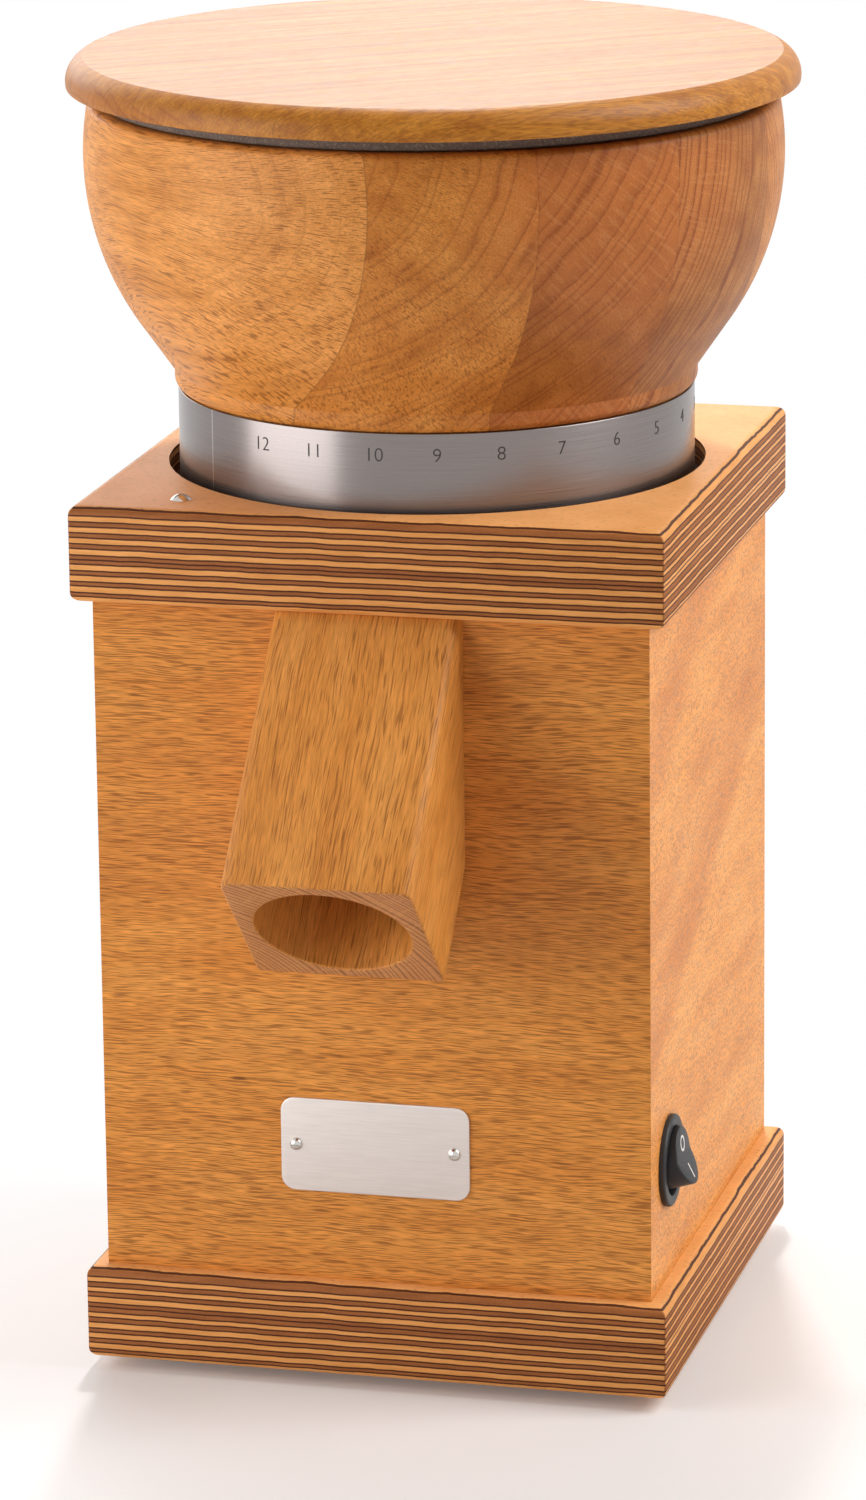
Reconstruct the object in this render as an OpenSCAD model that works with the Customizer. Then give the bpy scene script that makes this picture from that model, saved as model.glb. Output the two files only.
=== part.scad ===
// Electric grain mill with a wooden body, a stone grinding set and a turning hopper.
// Millimetres, +Z up, the front at -Y, the switch at +X.
// Origin: on the table, in the middle of the mill's overall width and depth with its spout.

/* [Plates] */
// Wood between the round recess and the sides of the square top plate
plate_margin = 8.7; // [8:0.1:14]
// Thickness of each plate
plate_t = 30; // [28:1:33]
// Rounding of the plates' horizontal edges
plate_edge_r = 3; // [1:0.5:5]
// Depth of the round recess that the setting ring turns in
recess_depth = 8; // [6:0.5:10]
// Gap between the setting ring and the wall of the recess
recess_gap = 3.4; // [1:0.1:4]

/* [Body] */
// How far the plates stand out past the body on each side
plate_overhang = 5.65; // [5:0.05:7]
// Height of the body between the plates
body_h = 213.5; // [208:0.5:225]
// Thickness of the body panels
panel_t = 12; // [10:0.5:12.5]
// Side of the square glue blocks in the corners
block_w = 16; // [14:0.5:17]
// Height of the glue blocks
block_h = 20; // [16:1:22]

/* [Vents] */
// Number of air holes in the bottom plate
floor_vent_count = 10; // [6:1:12]
// Radius of each air hole in the bottom plate
floor_vent_r = 5; // [3:0.5:6]
// Radius of the circle that the air holes stand on
floor_vent_circle_r = 24; // [22:1:26]
// Number of air slots in the back panel
slot_count = 7; // [3:2:9]
// Width of each air slot
slot_w = 4; // [3:0.5:5]
// Length of each air slot, end to end
slot_len = 44; // [30:1:50]
// Spacing of the air slots
slot_pitch = 12; // [9:0.5:13]
// Height of the middle of the air slots above the bottom plate
slot_height = 120; // [110:1:135]

/* [Feet] */
// Height of the feet
foot_h = 4; // [3:0.5:6]
// Radius of the feet
foot_r = 8; // [7:0.5:9]
// Distance from the plate's edges to the centre of a foot
foot_inset = 22; // [21:0.5:23]
// How far the screw heads are sunk into the feet
foot_sink = 1; // [0.5:0.25:1.5]

/* [Spout] */
// Width of the spout bar, across the mill
spout_w = 58.7; // [56:0.1:62]
// Depth of the spout bar, square to its bore
spout_depth = 57; // [55:0.5:60]
// Slope of the spout below level, in degrees
spout_angle = 46.4; // [44:0.2:49]
// Radius of the spout's bore
spout_bore_r = 23.9; // [22:0.1:25]
// Distance from the front panel to the middle of the spout's open end, along Y
spout_reach = 46.5; // [42:0.5:55]
// Distance from the top plate down to the bore's axis at the front panel
spout_drop = 38.5; // [37:0.5:40]
// Rounding of the spout bar's two upper long edges
spout_edge_r = 4; // [2:0.5:6]
// Rounding of the spout bar's two lower long edges
spout_low_edge_r = 1.5; // [1:0.5:3]

/* [Setting ring] */
// Outer radius of the setting ring
ring_r = 80.4; // [79.8:0.1:82]
// Thickness of the ring's sheet
ring_t = 1; // [0.8:0.1:1.2]
// Height of the ring's top edge above the top plate
ring_rise = 24; // [22:0.5:27]
// Gap between the ring's lower edge and the floor of the recess
ring_floor_gap = 0.8; // [0.5:0.1:2]

/* [Hopper] */
// How far the hopper's neck stands out past the setting ring
neck_lip = 1; // [0.5:0.1:2]
// Rounding under the neck
neck_round = 3; // [2:0.5:3.5]
// Height of the neck above the setting ring
neck_h = 6.5; // [4:0.5:8]
// Radius of the bowl at its widest
bowl_r = 108.3; // [107:0.1:109.2]
// Length of the straight flare between the neck and the curve of the bowl's side
flare_len = 16.8; // [10:0.2:30]
// Height of the bowl's widest place above the setting ring
bowl_wide_h = 72.6; // [72:0.1:75]
// Height of the rim above the setting ring
rim_h = 89.5; // [86:0.5:92]
// Rounding of the rim's outer edge
rim_round = 2.5; // [1:0.5:4]
// Thickness of the bowl's side
bowl_wall = 12; // [10:0.5:13]
// Least thickness of the bowl's floor over the hopper base
bowl_floor_t = 12; // [11:0.5:13]
// Depth of wood under the setting ring's top edge, down to the hopper base
spigot_depth = 15.5; // [14:0.5:16]
// Radius of the throat that the grain falls through
throat_r = 17; // [14:0.5:17.5]

/* [Lid] */
// How far the lid stands out past the bowl
lid_overhang = 5; // [2:0.1:8]
// Thickness of the lid
lid_t = 9.3; // [8.5:0.1:12]
// Radius of the lid's upper edge
lid_edge_r = 8; // [6:0.5:8]
// Depth of the locating step under the lid
lid_step_depth = 11; // [6:0.5:14]
// Gap between the locating step and the hopper's mouth
lid_step_gap = 2.5; // [1:0.5:4]
// Width of the seal ring
seal_w = 9; // [6:0.5:10]
// Thickness of the seal ring
seal_t = 4.3; // [3:0.1:6]

/* [Hopper base] */
// How far the base's holding lip stands out from its hub
base_lip_w = 7.5; // [5:0.5:8]
// Thickness of the holding lip
base_lip_t = 3.2; // [2.5:0.1:4]
// Radius of the setting thread, taken as a plain running fit
setting_thread_r = 33; // [30:0.5:34]
// Wall of the threaded sleeve under the base
base_sleeve_wall = 4; // [3:0.5:5]
// Wall of the throat tube
throat_tube_wall = 3; // [2:0.25:3]
// Radius of the circle that the base's screws stand on
base_screw_circle_r = 48; // [46:0.5:50]
// How far the base's screws go into the bowl
base_screw_depth = 9; // [7:0.5:10]
// Number of screws in the base
base_screw_count = 4; // [3:1:6]

/* [Retaining ring] */
// Thickness of the retaining ring over the lip
retainer_t = 3; // [2:0.25:3.5]
// Width of the ring's outer collar
retainer_collar_w = 8; // [7.5:0.25:8.5]
// Number of screws through the retaining ring
retainer_screw_count = 4; // [4:2:8]

/* [Grinding chamber] */
// How far the motor stands out past the bore of the grinding chamber
chamber_step = 1; // [0.5:0.25:1.5]
// Wall of the grinding chamber
chamber_wall = 9; // [8:0.5:10]
// Thickness of the chamber's flange in the recess
flange_t = 4; // [3:0.25:4.5]
// Depth of the chamber under the floor of the recess
chamber_depth = 43.5; // [42:0.5:46]
// Gap around the chamber in the top plate
chamber_gap = 0.5; // [0.3:0.1:1]
// Inner radius of the flour chute
chute_r = 15; // [12:0.5:16]
// Wall of the flour chute
chute_wall = 3; // [2:0.5:4]
// How far the chute's axis lies below the spout's axis
chute_offset = 4; // [2:0.5:5]
// Number of key slots in the chamber wall
key_count = 3; // [2:1:4]
// Width of the key slots
key_w = 6; // [4:0.5:8]
// Depth of the key slots
key_depth = 2.5; // [2:0.25:3.5]

/* [Stones] */
// Gap between the millstones and the wall of the chamber, where the flour is swept round
stone_gap = 7.5; // [6.5:0.25:9]
// Thickness of the lower millstone
lower_stone_t = 14; // [12:0.5:16]
// Thickness of the upper millstone
upper_stone_t = 13; // [12:0.5:14]
// Radius of the hole in both millstones
stone_eye_r = 14; // [12:0.5:15]
// Gap between the stones at the finest setting
finest_gap = 0.3; // [0.3:0.05:0.6]
// Lead of the setting thread, in millimetres for one turn
setting_lead = 3; // [2:0.25:3.5]
// How far the hopper turns from the coarsest to the finest setting, in degrees
setting_turn = 188; // [150:1:200]
// Thickness of the upper stone's holder
holder_t = 4.2; // [3.5:0.1:5]
// Depth of the holder's skirt around the upper stone
holder_skirt = 8; // [5:0.5:10]
// Height of the holder's threaded neck
holder_neck_h = 8; // [7:0.25:8.5]
// Thickness of the lower stone's carrier
carrier_t = 6; // [5:0.5:7]
// Gap between the carrier and the chamber floor
carrier_floor_gap = 3; // [2:0.5:4]
// Radius of the carrier's hub
carrier_hub_r = 12; // [10:0.5:12.5]
// How far the carrier's hub rises above its plate
carrier_hub_h = 3; // [2:0.5:4]
// Thickness of the nut on the carrier's hub
carrier_nut_t = 6; // [4:0.5:7]
// Number of flour sweepers on the carrier
sweeper_count = 4; // [2:1:6]
// Width of each sweeper
sweeper_w = 6; // [4:0.5:8]

/* [Motor] */
// Radius of the motor
motor_r = 51; // [49:0.5:51.5]
// Thickness of the motor's shields at the rim
motor_skirt_t = 6; // [5.5:0.25:7]
// Thickness of the upper shield, which is the chamber's floor
upper_shield_t = 10; // [9:0.5:11]
// Thickness of the lower shield
lower_shield_t = 6; // [5:0.5:8]
// Height of each shield's skirt
motor_skirt_h = 26; // [25:0.5:28]
// Length of the stator core
stator_len = 50; // [45:1:52]
// Inner radius of the stator core
stator_bore_r = 30.5; // [28:0.5:31]
// Air gap between rotor and stator
air_gap = 0.5; // [0.4:0.1:1]
// Height of the end windings
winding_h = 15; // [10:1:17]
// Width of the end windings
winding_w = 9; // [6:0.5:10]
// Radius of the motor shaft
shaft_r = 6; // [5:0.25:6.5]
// Outer radius of the bearings
bearing_r = 16; // [14:0.5:16]
// Width of the bearings
bearing_w = 10; // [8:0.5:10]
// Wall around the bearings
bearing_seat_wall = 4; // [3:0.5:5]
// Thickness of the lower shield under its bearing
bearing_shoulder_t = 3; // [2:0.5:4]
// Radius of the cooling fan
fan_r = 44; // [38:0.5:48]
// Height of the fan's blades
fan_h = 12; // [8:0.5:13]
// Radius of the fan's hub
fan_hub_r = 12; // [10:0.5:14]
// Thickness of the fan's disc and blades
fan_sheet_t = 2; // [1:0.25:3]
// Number of fan blades
blade_count = 9; // [5:1:13]
// Radius of the shaft seal
seal_ring_r = 10; // [9:0.5:11]
// Width of the shaft seal
seal_ring_w = 4; // [3:0.5:5]

/* [Switch] */
// Radius of the switch's bezel
bezel_r = 14.4; // [14:0.1:14.6]
// Thickness of the bezel
bezel_t = 2; // [1.5:0.1:2.2]
// Radius of the switch's barrel
barrel_r = 12.4; // [12.2:0.1:12.5]
// Depth of the switch behind the panel's face
switch_depth = 24; // [22:0.5:28]
// Depth of the well that the rocker moves in
well_depth = 12; // [11:0.5:16]
// Radius of the well that the rocker moves in
well_r = 10.9; // [10.8:0.1:11.1]
// Radius of the rocker
rocker_r = 9.2; // [8.8:0.1:9.3]
// Distance from the front of the body to the middle of the switch
switch_setback = 25; // [24.8:0.1:28]
// Height of the switch's middle above the bottom plate
switch_height = 37.8; // [36.5:0.1:45]
// Radius of the rocker's pivot pin
pivot_r = 1.5; // [1.2:0.1:1.8]
// How far the rocker reaches behind its pivot
rocker_back = 3; // [2:0.1:3.2]
// Height of the rocker's middle over its pivot
rocker_h = 6.2; // [5.8:0.1:6.8]
// Slope of each half of the rocker, in degrees
rocker_slope = 10; // [6:0.5:11]
// Tilt of the rocker in its off position, in degrees
rocker_tilt = 17; // [12:0.5:18]

/* [Name plate] */
// Width of the name plate
name_plate_w = 60; // [50:0.5:70]
// Height of the name plate
name_plate_h = 30; // [24:0.5:36]
// Thickness of the name plate
name_plate_t = 0.8; // [0.5:0.1:1.5]
// Corner rounding of the name plate
name_plate_r = 4.5; // [2:0.5:8]
// Height of the name plate's middle above the bottom plate
name_plate_height = 43.5; // [30:0.5:60]
// Distance from the plate's side to its screws
name_plate_screw_inset = 4.8; // [4:0.1:8]

/* [Electrics] */
// Radius of the capacitor
capacitor_r = 13; // [10:0.5:13.5]
// Length of the capacitor
capacitor_len = 62; // [50:1:66]
// Gap between the capacitor and the back panel
capacitor_gap = 2.5; // [2:0.25:3]
// Width of the capacitor's clip
clip_w = 14; // [10:1:20]
// Radius of the cord inlet's bore
inlet_r = 3.75; // [3:0.25:4.5]
// Radius of the inlet gland's barrel
gland_r = 7; // [6.5:0.25:8]
// Radius of the gland's head
gland_head_r = 9; // [8.5:0.25:10]
// Thickness of the gland's head
gland_head_t = 4; // [3:0.5:5]
// Thickness of the gland's nut
nut_t = 5; // [4:0.5:6]
// Distance from the inside of the left panel to the middle of the cord inlet
inlet_inset = 32.85; // [30:0.05:35]
// Height of the cord inlet above the bottom plate
inlet_height = 26; // [24:0.5:30]
// Length of the terminal block
block_len = 38; // [34:1:44]
// Side of the terminal block
block_side = 13; // [11:0.5:14]
// Radius of the lead wires
wire_r = 1.6; // [1:0.1:2]
// Height of the lead wires above the bottom plate
wire_height = 22.5; // [20:0.5:23]
// Length of the switch's terminals
terminal_len = 10; // [6:0.5:11]
// Width of the switch's terminals
terminal_w = 4.8; // [4:0.1:6.3]
// Thickness of the terminals and of the capacitor's clip
clip_t = 1.5; // [0.8:0.1:2]

/* [Screws] */
// Radius of the wood screws' shanks
screw_r = 1.75; // [1.5:0.25:2]
// Radius of the wood screws' countersunk heads
screw_head_r = 3.4; // [3.2:0.1:3.8]
// Depth of a countersunk head
screw_head_t = 2; // [1.6:0.1:2.4]
// Length of the screws that hold the feet, the bottom plate and the glue blocks
foot_screw_len = 46; // [42:1:52]
// Length of the screws from the upper glue blocks into the top plate
top_screw_len = 34; // [30:1:38]
// Length of the retaining ring's screws
retainer_screw_len = 18; // [14:1:20]
// Length of the spout's screws
spout_screw_len = 20; // [17:1:21]
// Height of the upper spout screws above the bore's axis
spout_screw_rise = 23; // [20:0.5:25]
// Depth of the lower spout screws under the bore's axis
spout_screw_fall = 34; // [33:0.5:35]
// Distance of the lower spout screws from the middle of the mill
spout_low_screw_x = 23; // [21:0.5:24]
// Radius of the metal screws' shanks in the motor and chamber
bolt_r = 1.75; // [1.5:0.25:2]
// Radius of the metal screws' heads
bolt_head_r = 2.8; // [2.5:0.1:2.9]
// Height of the metal screws' heads
bolt_head_h = 3; // [2:0.5:4]
// Length of the chamber screws
chamber_bolt_len = 26; // [22:1:30]
// How far the motor's long screws go into the upper shield
motor_bolt_depth = 7; // [5:0.5:8]
// Radius of the index screw's domed head
index_head_r = 3.25; // [2.5:0.25:4]
// Distance from the wall of the recess to the middle of the index screw
index_gap = 14.1; // [8:0.1:18]
// Place of the index screw, in degrees to the left of the front
index_angle = 38.7; // [36:0.1:45]
// Radius of the name plate screws' domed heads
plate_screw_head_r = 2.1; // [1.8:0.1:2.6]
// Length of the index and name plate screws in the wood
small_screw_len = 10; // [6:1:11]
// Height of a domed head
dome_h = 1.6; // [1.2:0.1:1.8]
// Width of a domed head's slot
slot_cut_w = 0.7; // [0.5:0.1:1]
// Depth of a domed head's slot
slot_cut_depth = 0.8; // [0.4:0.1:1]

/* [Clearances] */
// Gap between bodies that rest on each other or turn face to face
face_gap = 0.3; // [0.3:0.05:0.6]
// Gap all round a piece that turns or slides past another
free_gap = 0.5; // [0.3:0.1:0.8]
// Radial fit of the setting thread
thread_fit = 0.1; // [0.05:0.01:0.1]
// Radial fit of the shaft in its bearings and seal, and of the rocker on its pivot
running_fit = 0.05; // [0.02:0.01:0.1]

/* [Hidden] */
$fn = 96;

// Cutters run this far past the faces they cut.
past = 1;

// How far the corners of the leads bulge past the straight legs
corner_bulge = 0.1;
// Steps round the large turned pieces
turned_fn = 180;
// Direction of the mill's right back corner, seen from its axis
corner_angle = 45;
// Direction of the back of the mill, seen from its axis
back_angle = 90;
// Number of screws through the chamber and through the motor
motor_screw_count = 4;

// Body and plates
recess_r = ring_r + recess_gap;
half_plate = recess_r + plate_margin;
plate_w = 2 * half_plate;
half_body = half_plate - plate_overhang;
half_inside = half_body - panel_t;
floor_z = foot_h + plate_t;
body_top_z = floor_z + body_h;
top_z = body_top_z + plate_t;
recess_z = top_z - recess_depth;
block_at = half_inside - block_w / 2;
foot_at = half_plate - foot_inset;

// Spout: a straight bar along the bore's axis
spout_len = spout_reach / cos(spout_angle);
spout_axis_z = body_top_z - spout_drop;
spout_root = spout_depth / sin(spout_angle);
front_reach = half_body + spout_reach + spout_depth / 2 * sin(spout_angle);

// Grinding chamber and the motor under it
flange_z = recess_z + flange_t;
chamber_r = motor_r - chamber_step;
stone_r = chamber_r - stone_gap;
chamber_out_r = chamber_r + chamber_wall;
chamber_hole_r = chamber_out_r + chamber_gap;
chamber_floor_z = recess_z - chamber_depth;
shield_z = chamber_floor_z - upper_shield_t;
chute_out_r = chute_r + chute_wall;
chamber_screw_circle_r = chamber_r + chamber_wall / 2 + free_gap;
motor_in_r = motor_r - motor_skirt_t;
motor_screw_circle_r = motor_r - motor_skirt_t / 2;
stator_top_z = shield_z - motor_skirt_h;
stator_z = stator_top_z - stator_len;
lower_shield_z = stator_z - motor_skirt_h - lower_shield_t;
fan_top_z = lower_shield_z - 2 * free_gap - bolt_head_h;
fan_z = fan_top_z - fan_h;
rotor_r = stator_bore_r - air_gap;
bearing_seat_r = bearing_r + bearing_seat_wall;
upper_bearing_z = shield_z - bearing_w / 2;
lower_bearing_z = lower_shield_z + bearing_shoulder_t;

// Stones, from the chamber floor up
carrier_z = chamber_floor_z + carrier_floor_gap;
lower_stone_z = carrier_z + carrier_t;
carrier_hub_top_z = lower_stone_z + carrier_hub_h;
lower_stone_top_z = lower_stone_z + lower_stone_t;
setting_travel = setting_lead * setting_turn / 360;
upper_stone_z = lower_stone_top_z + finest_gap + setting_travel;
holder_z = upper_stone_z + upper_stone_t;
holder_top_z = holder_z + holder_t;
holder_r = chamber_r - free_gap;
key_slot_z = holder_z - setting_travel - 2 * free_gap;

// Hopper: base, bowl, ring
ring_top_z = top_z + ring_rise;
ring_z = recess_z + ring_floor_gap;
ring_in_r = ring_r - ring_t;
bowl_z = ring_top_z - spigot_depth;
base_z = flange_z + face_gap;
lip_top_z = base_z + base_lip_t;
retainer_z = lip_top_z + face_gap;
retainer_top_z = retainer_z + retainer_t;
retainer_r = ring_in_r - 2 * free_gap;
base_lip_r = retainer_r - retainer_collar_w - free_gap;
base_hub_r = base_lip_r - base_lip_w;
retainer_in_r = base_hub_r + 2 * free_gap;
retainer_screw_circle_r = retainer_r - retainer_collar_w / 2;
neck_r = ring_r + neck_lip;
bowl_wide_z = ring_top_z + bowl_wide_h;
rim_z = ring_top_z + rim_h;
neck_top_z = ring_top_z + neck_h;
bulge = bowl_r - neck_r;
side_h = bowl_wide_z - neck_top_z;
bowl_curve_r = (pow(bulge, 2) + pow(side_h, 2) - pow(flare_len, 2)) / (2 * bulge);
bowl_curve_x = bowl_r - bowl_curve_r;
flare_turn = atan2(flare_len, bowl_curve_r) - atan2(side_h, neck_r - bowl_curve_x);
flare_r = bowl_curve_x + bowl_curve_r * cos(flare_turn);
flare_z = bowl_wide_z + bowl_curve_r * sin(flare_turn);
cavity_curve_r = bowl_curve_r - bowl_wall;
cavity_floor_z = bowl_z + bowl_floor_t;
mouth_r = bowl_curve_x + sqrt(pow(cavity_curve_r, 2) - pow(rim_z - bowl_wide_z, 2));
rim_round_x = bowl_curve_x - rim_round
    + sqrt(pow(bowl_curve_r, 2) - pow(rim_z - rim_round - bowl_wide_z, 2));
sleeve_z = holder_top_z + 2 * free_gap;
sleeve_r = setting_thread_r + base_sleeve_wall;
neck_in_r = throat_r + throat_tube_wall + 4 * free_gap;
holder_neck_top_z = holder_top_z + holder_neck_h;
thread_top_z = holder_neck_top_z + 2 * free_gap;
throat_z = holder_z + free_gap;

// Lid
seal_z = rim_z + face_gap;
lid_z = seal_z + seal_t;
lid_r = bowl_r + lid_overhang;
lid_step_r = mouth_r - lid_step_gap;
seal_in_r = mouth_r + free_gap;

// Distance of the hopper's axis behind the origin
axis_y = (front_reach - lid_r) / 2;

// Switch in the right panel
switch_y = -half_body + switch_setback;
switch_z = floor_z + switch_height;
pivot_x = half_body - bezel_t / 2;

// Name plate on the front panel
name_plate_z = floor_z + name_plate_height;
name_screw_x = name_plate_w / 2 - name_plate_screw_inset;

// Electrics on the bottom plate and in the back panel
inlet_x = inlet_inset - half_inside;
inlet_z = floor_z + inlet_height;
capacitor_y = half_inside - capacitor_r - capacitor_gap;
capacitor_z = floor_z + capacitor_r + clip_t;
inlet_end_y = half_inside - nut_t - 2 * free_gap;
block_x = -half_inside + block_w + block_side / 2;
block_top_z = floor_z + block_side;
wire_z = floor_z + wire_height;
wire_side_x = -half_inside + block_w / 2;
terminal_end_x = half_body - switch_depth - terminal_len;

// Every piece is drawn about the hopper's axis, and this puts it in its place over the origin.
module on_axis() {
    translate([0, axis_y, 0]) children();
}

// A bar from z0 to z1 with the given radius.
module disc(r, z0, z1) {
    translate([0, 0, z0]) cylinder(r = r, h = z1 - z0);
}

// A round wall between two radii from z0 to z1.
module tube(r_out, r_in, z0, z1) {
    difference() {
        disc(r_out, z0, z1);
        disc(r_in, z0 - past, z1 + past);
    }
}

// Copies at the four corners, the same distance from both middle planes.
module at_corners(d) {
    for (x = [-d, d]) for (y = [-d, d]) translate([x, y, 0]) children();
}

// Copies round the axis, starting from the given angle.
module around(count, r, start = 0) {
    for (i = [0 : count - 1]) rotate([0, 0, start + i * 360 / count]) translate([r, 0, 0]) children();
}

// Places of the retaining ring's screws, round the axis.
module retainer_screw_places() {
    around(retainer_screw_count, retainer_screw_circle_r, corner_angle) children();
}

// Places of the screws through the upper shield into the chamber, clear of the flour chute.
module chamber_screw_places() {
    around(motor_screw_count, chamber_screw_circle_r, corner_angle) children();
}

// Places of the long screws through the motor.
module motor_screw_places() {
    around(motor_screw_count, motor_screw_circle_r) children();
}

// Places of the screws from the hopper base into the bowl.
module base_screw_places() {
    around(base_screw_count, base_screw_circle_r) children();
}

// Screw pointing up from its countersunk head at z = 0.
module wood_screw(len) {
    cylinder(r1 = screw_head_r, r2 = screw_r, h = screw_head_t);
    cylinder(r = screw_r, h = len);
}

// Screw pointing up, with its round head under z = 0.
module metal_screw(len) {
    translate([0, 0, -bolt_head_h]) cylinder(r = bolt_head_r, h = bolt_head_h);
    cylinder(r = bolt_r, h = len);
}

// Shank radius of a screw with a domed head.
function dome_shank_r(head_r) = head_r / 2;

// Screw pointing down from a slotted dome that stands on z = 0.
module dome_screw(head_r, len) {
    ball_r = (pow(head_r, 2) + pow(dome_h, 2)) / (2 * dome_h);
    difference() {
        intersection() {
            translate([0, 0, dome_h - ball_r]) sphere(r = ball_r);
            cylinder(r = head_r + past, h = dome_h + past);
        }
        translate([-head_r - past, -slot_cut_w / 2, dome_h - slot_cut_depth])
            cube([2 * (head_r + past), slot_cut_w, slot_cut_depth + past]);
    }
    translate([0, 0, -len]) cylinder(r = dome_shank_r(head_r), h = len);
}

// Hole for a screw that points up from z0, with its countersink.
module screw_hole(len, z0) {
    translate([0, 0, z0]) wood_screw(len);
}

// Rectangle from z0 to z1 with round corners, w wide.
module round_profile(w, z0, z1, r) {
    translate([-w / 2 + r, z0]) square([w - 2 * r, z1 - z0]);
    translate([-w / 2, z0 + r]) square([w, z1 - z0 - 2 * r]);
    for (x = [-w / 2 + r, w / 2 - r]) for (z = [z0 + r, z1 - r]) translate([x, z]) circle(r = r);
}

// Square plate from z0 up whose horizontal edges are rounded.
module plate(z0) {
    intersection() {
        rotate([90, 0, 0]) translate([0, 0, -half_plate]) linear_extrude(plate_w)
            round_profile(plate_w, z0, z0 + plate_t, plate_edge_r);
        rotate([90, 0, 90]) translate([0, 0, -half_plate]) linear_extrude(plate_w)
            round_profile(plate_w, z0, z0 + plate_t, plate_edge_r);
    }
}

// One body panel with mitred sides, facing -Y before it is turned to its place.
module panel(turn) {
    rotate([0, 0, turn]) translate([0, 0, floor_z]) linear_extrude(body_h)
        polygon([[-half_body, -half_body], [half_body, -half_body],
                 [half_inside, -half_inside], [-half_inside, -half_inside]]);
}

// Moves to the spout's frame: Z runs down and out along the bore, from the front panel's face.
module spout_frame() {
    translate([0, -half_body, spout_axis_z]) rotate([90 + spout_angle, 0, 0]) children();
}

// Cylinder along the flour chute, just under the bore's axis, from len inside the front face out.
module chute_line(r, len) {
    spout_frame() translate([0, -chute_offset, -len]) cylinder(r = r, h = len + spout_root);
}

module top_plate() {
    color("burlywood") on_axis() difference() {
        plate(body_top_z);
        disc(recess_r, recess_z, top_z + past);
        disc(chamber_hole_r, body_top_z - past, recess_z + past);
        intersection() {
            chute_line(chute_out_r + chamber_gap, half_body);
            translate([-half_inside, -half_inside, body_top_z - past])
                cube([2 * half_inside, half_inside - chamber_r, plate_t]);
        }
        at_corners(block_at) screw_hole(top_screw_len, body_top_z - block_h);
        retainer_screw_places() disc(screw_r, retainer_top_z - retainer_screw_len, recess_z + past);
        rotate([0, 0, -90 - index_angle]) translate([recess_r + index_gap, 0, 0])
            disc(dome_shank_r(index_head_r), top_z - small_screw_len, top_z + past);
    }
}

module bottom_plate() {
    color("burlywood") on_axis() difference() {
        plate(foot_h);
        around(floor_vent_count, floor_vent_circle_r) disc(floor_vent_r, foot_h - past, floor_z + past);
        disc(floor_vent_r, foot_h - past, floor_z + past);
        at_corners(foot_at) disc(screw_r, foot_h - past, floor_z + past);
    }
}

module front_panel() {
    color("peru") on_axis() difference() {
        panel(0);
        chute_line(chute_out_r, half_body);
        spout_screw_places() screw_hole(spout_screw_len, 0);
        name_screw_places() translate([0, 0, -small_screw_len])
            cylinder(r = dome_shank_r(plate_screw_head_r), h = small_screw_len + past);
    }
}

module back_panel() {
    color("peru") on_axis() difference() {
        panel(180);
        translate([inlet_x, 0, inlet_z]) rotate([-90, 0, 0]) cylinder(r = gland_r, h = plate_w);
        for (i = [0 : slot_count - 1])
            translate([(i - (slot_count - 1) / 2) * slot_pitch, 0, floor_z + slot_height]) air_slot();
    }
}

// Upright slot with round ends, cut towards +Y from the middle of the mill.
module air_slot() {
    straight = slot_len - slot_w;
    translate([-slot_w / 2, 0, -straight / 2]) cube([slot_w, plate_w, straight]);
    for (z = [-straight / 2, straight / 2])
        translate([0, 0, z]) rotate([-90, 0, 0]) cylinder(r = slot_w / 2, h = plate_w);
}

module left_panel() {
    color("peru") on_axis() panel(-90);
}

module right_panel() {
    color("peru") on_axis() difference() {
        panel(90);
        translate([0, switch_y, switch_z]) rotate([0, 90, 0]) cylinder(r = barrel_r, h = plate_w);
    }
}

module corner_blocks() {
    color("tan") on_axis() difference() {
        for (z = [floor_z, body_top_z - block_h])
            at_corners(block_at) translate([-block_w / 2, -block_w / 2, z])
                cube([block_w, block_w, block_h]);
        at_corners(foot_at) disc(screw_r, floor_z - past, foot_sink + foot_screw_len);
        at_corners(block_at) screw_hole(top_screw_len, body_top_z - block_h);
    }
}

module top_screws() {
    color("silver") on_axis() at_corners(block_at) screw_hole(top_screw_len, body_top_z - block_h);
}

module feet() {
    color("dimgray") on_axis() at_corners(foot_at) difference() {
        disc(foot_r, 0, foot_h);
        screw_hole(foot_screw_len, foot_sink);
        disc(screw_head_r, -past, foot_sink);
    }
}

module foot_screws() {
    color("silver") on_axis() at_corners(foot_at) screw_hole(foot_screw_len, foot_sink);
}

// Screws from inside the front panel into the spout, two beside the bore and two under it.
module spout_screw_places() {
    beside = (spout_w / 2 + spout_bore_r) / 2;
    places = [[beside, spout_screw_rise], [spout_low_screw_x, -spout_screw_fall]];
    for (side = [-1, 1])
        for (place = places)
            translate([side * place[0], -half_inside, spout_axis_z + place[1]])
                rotate([90, 0, 0]) children();
}

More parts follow.
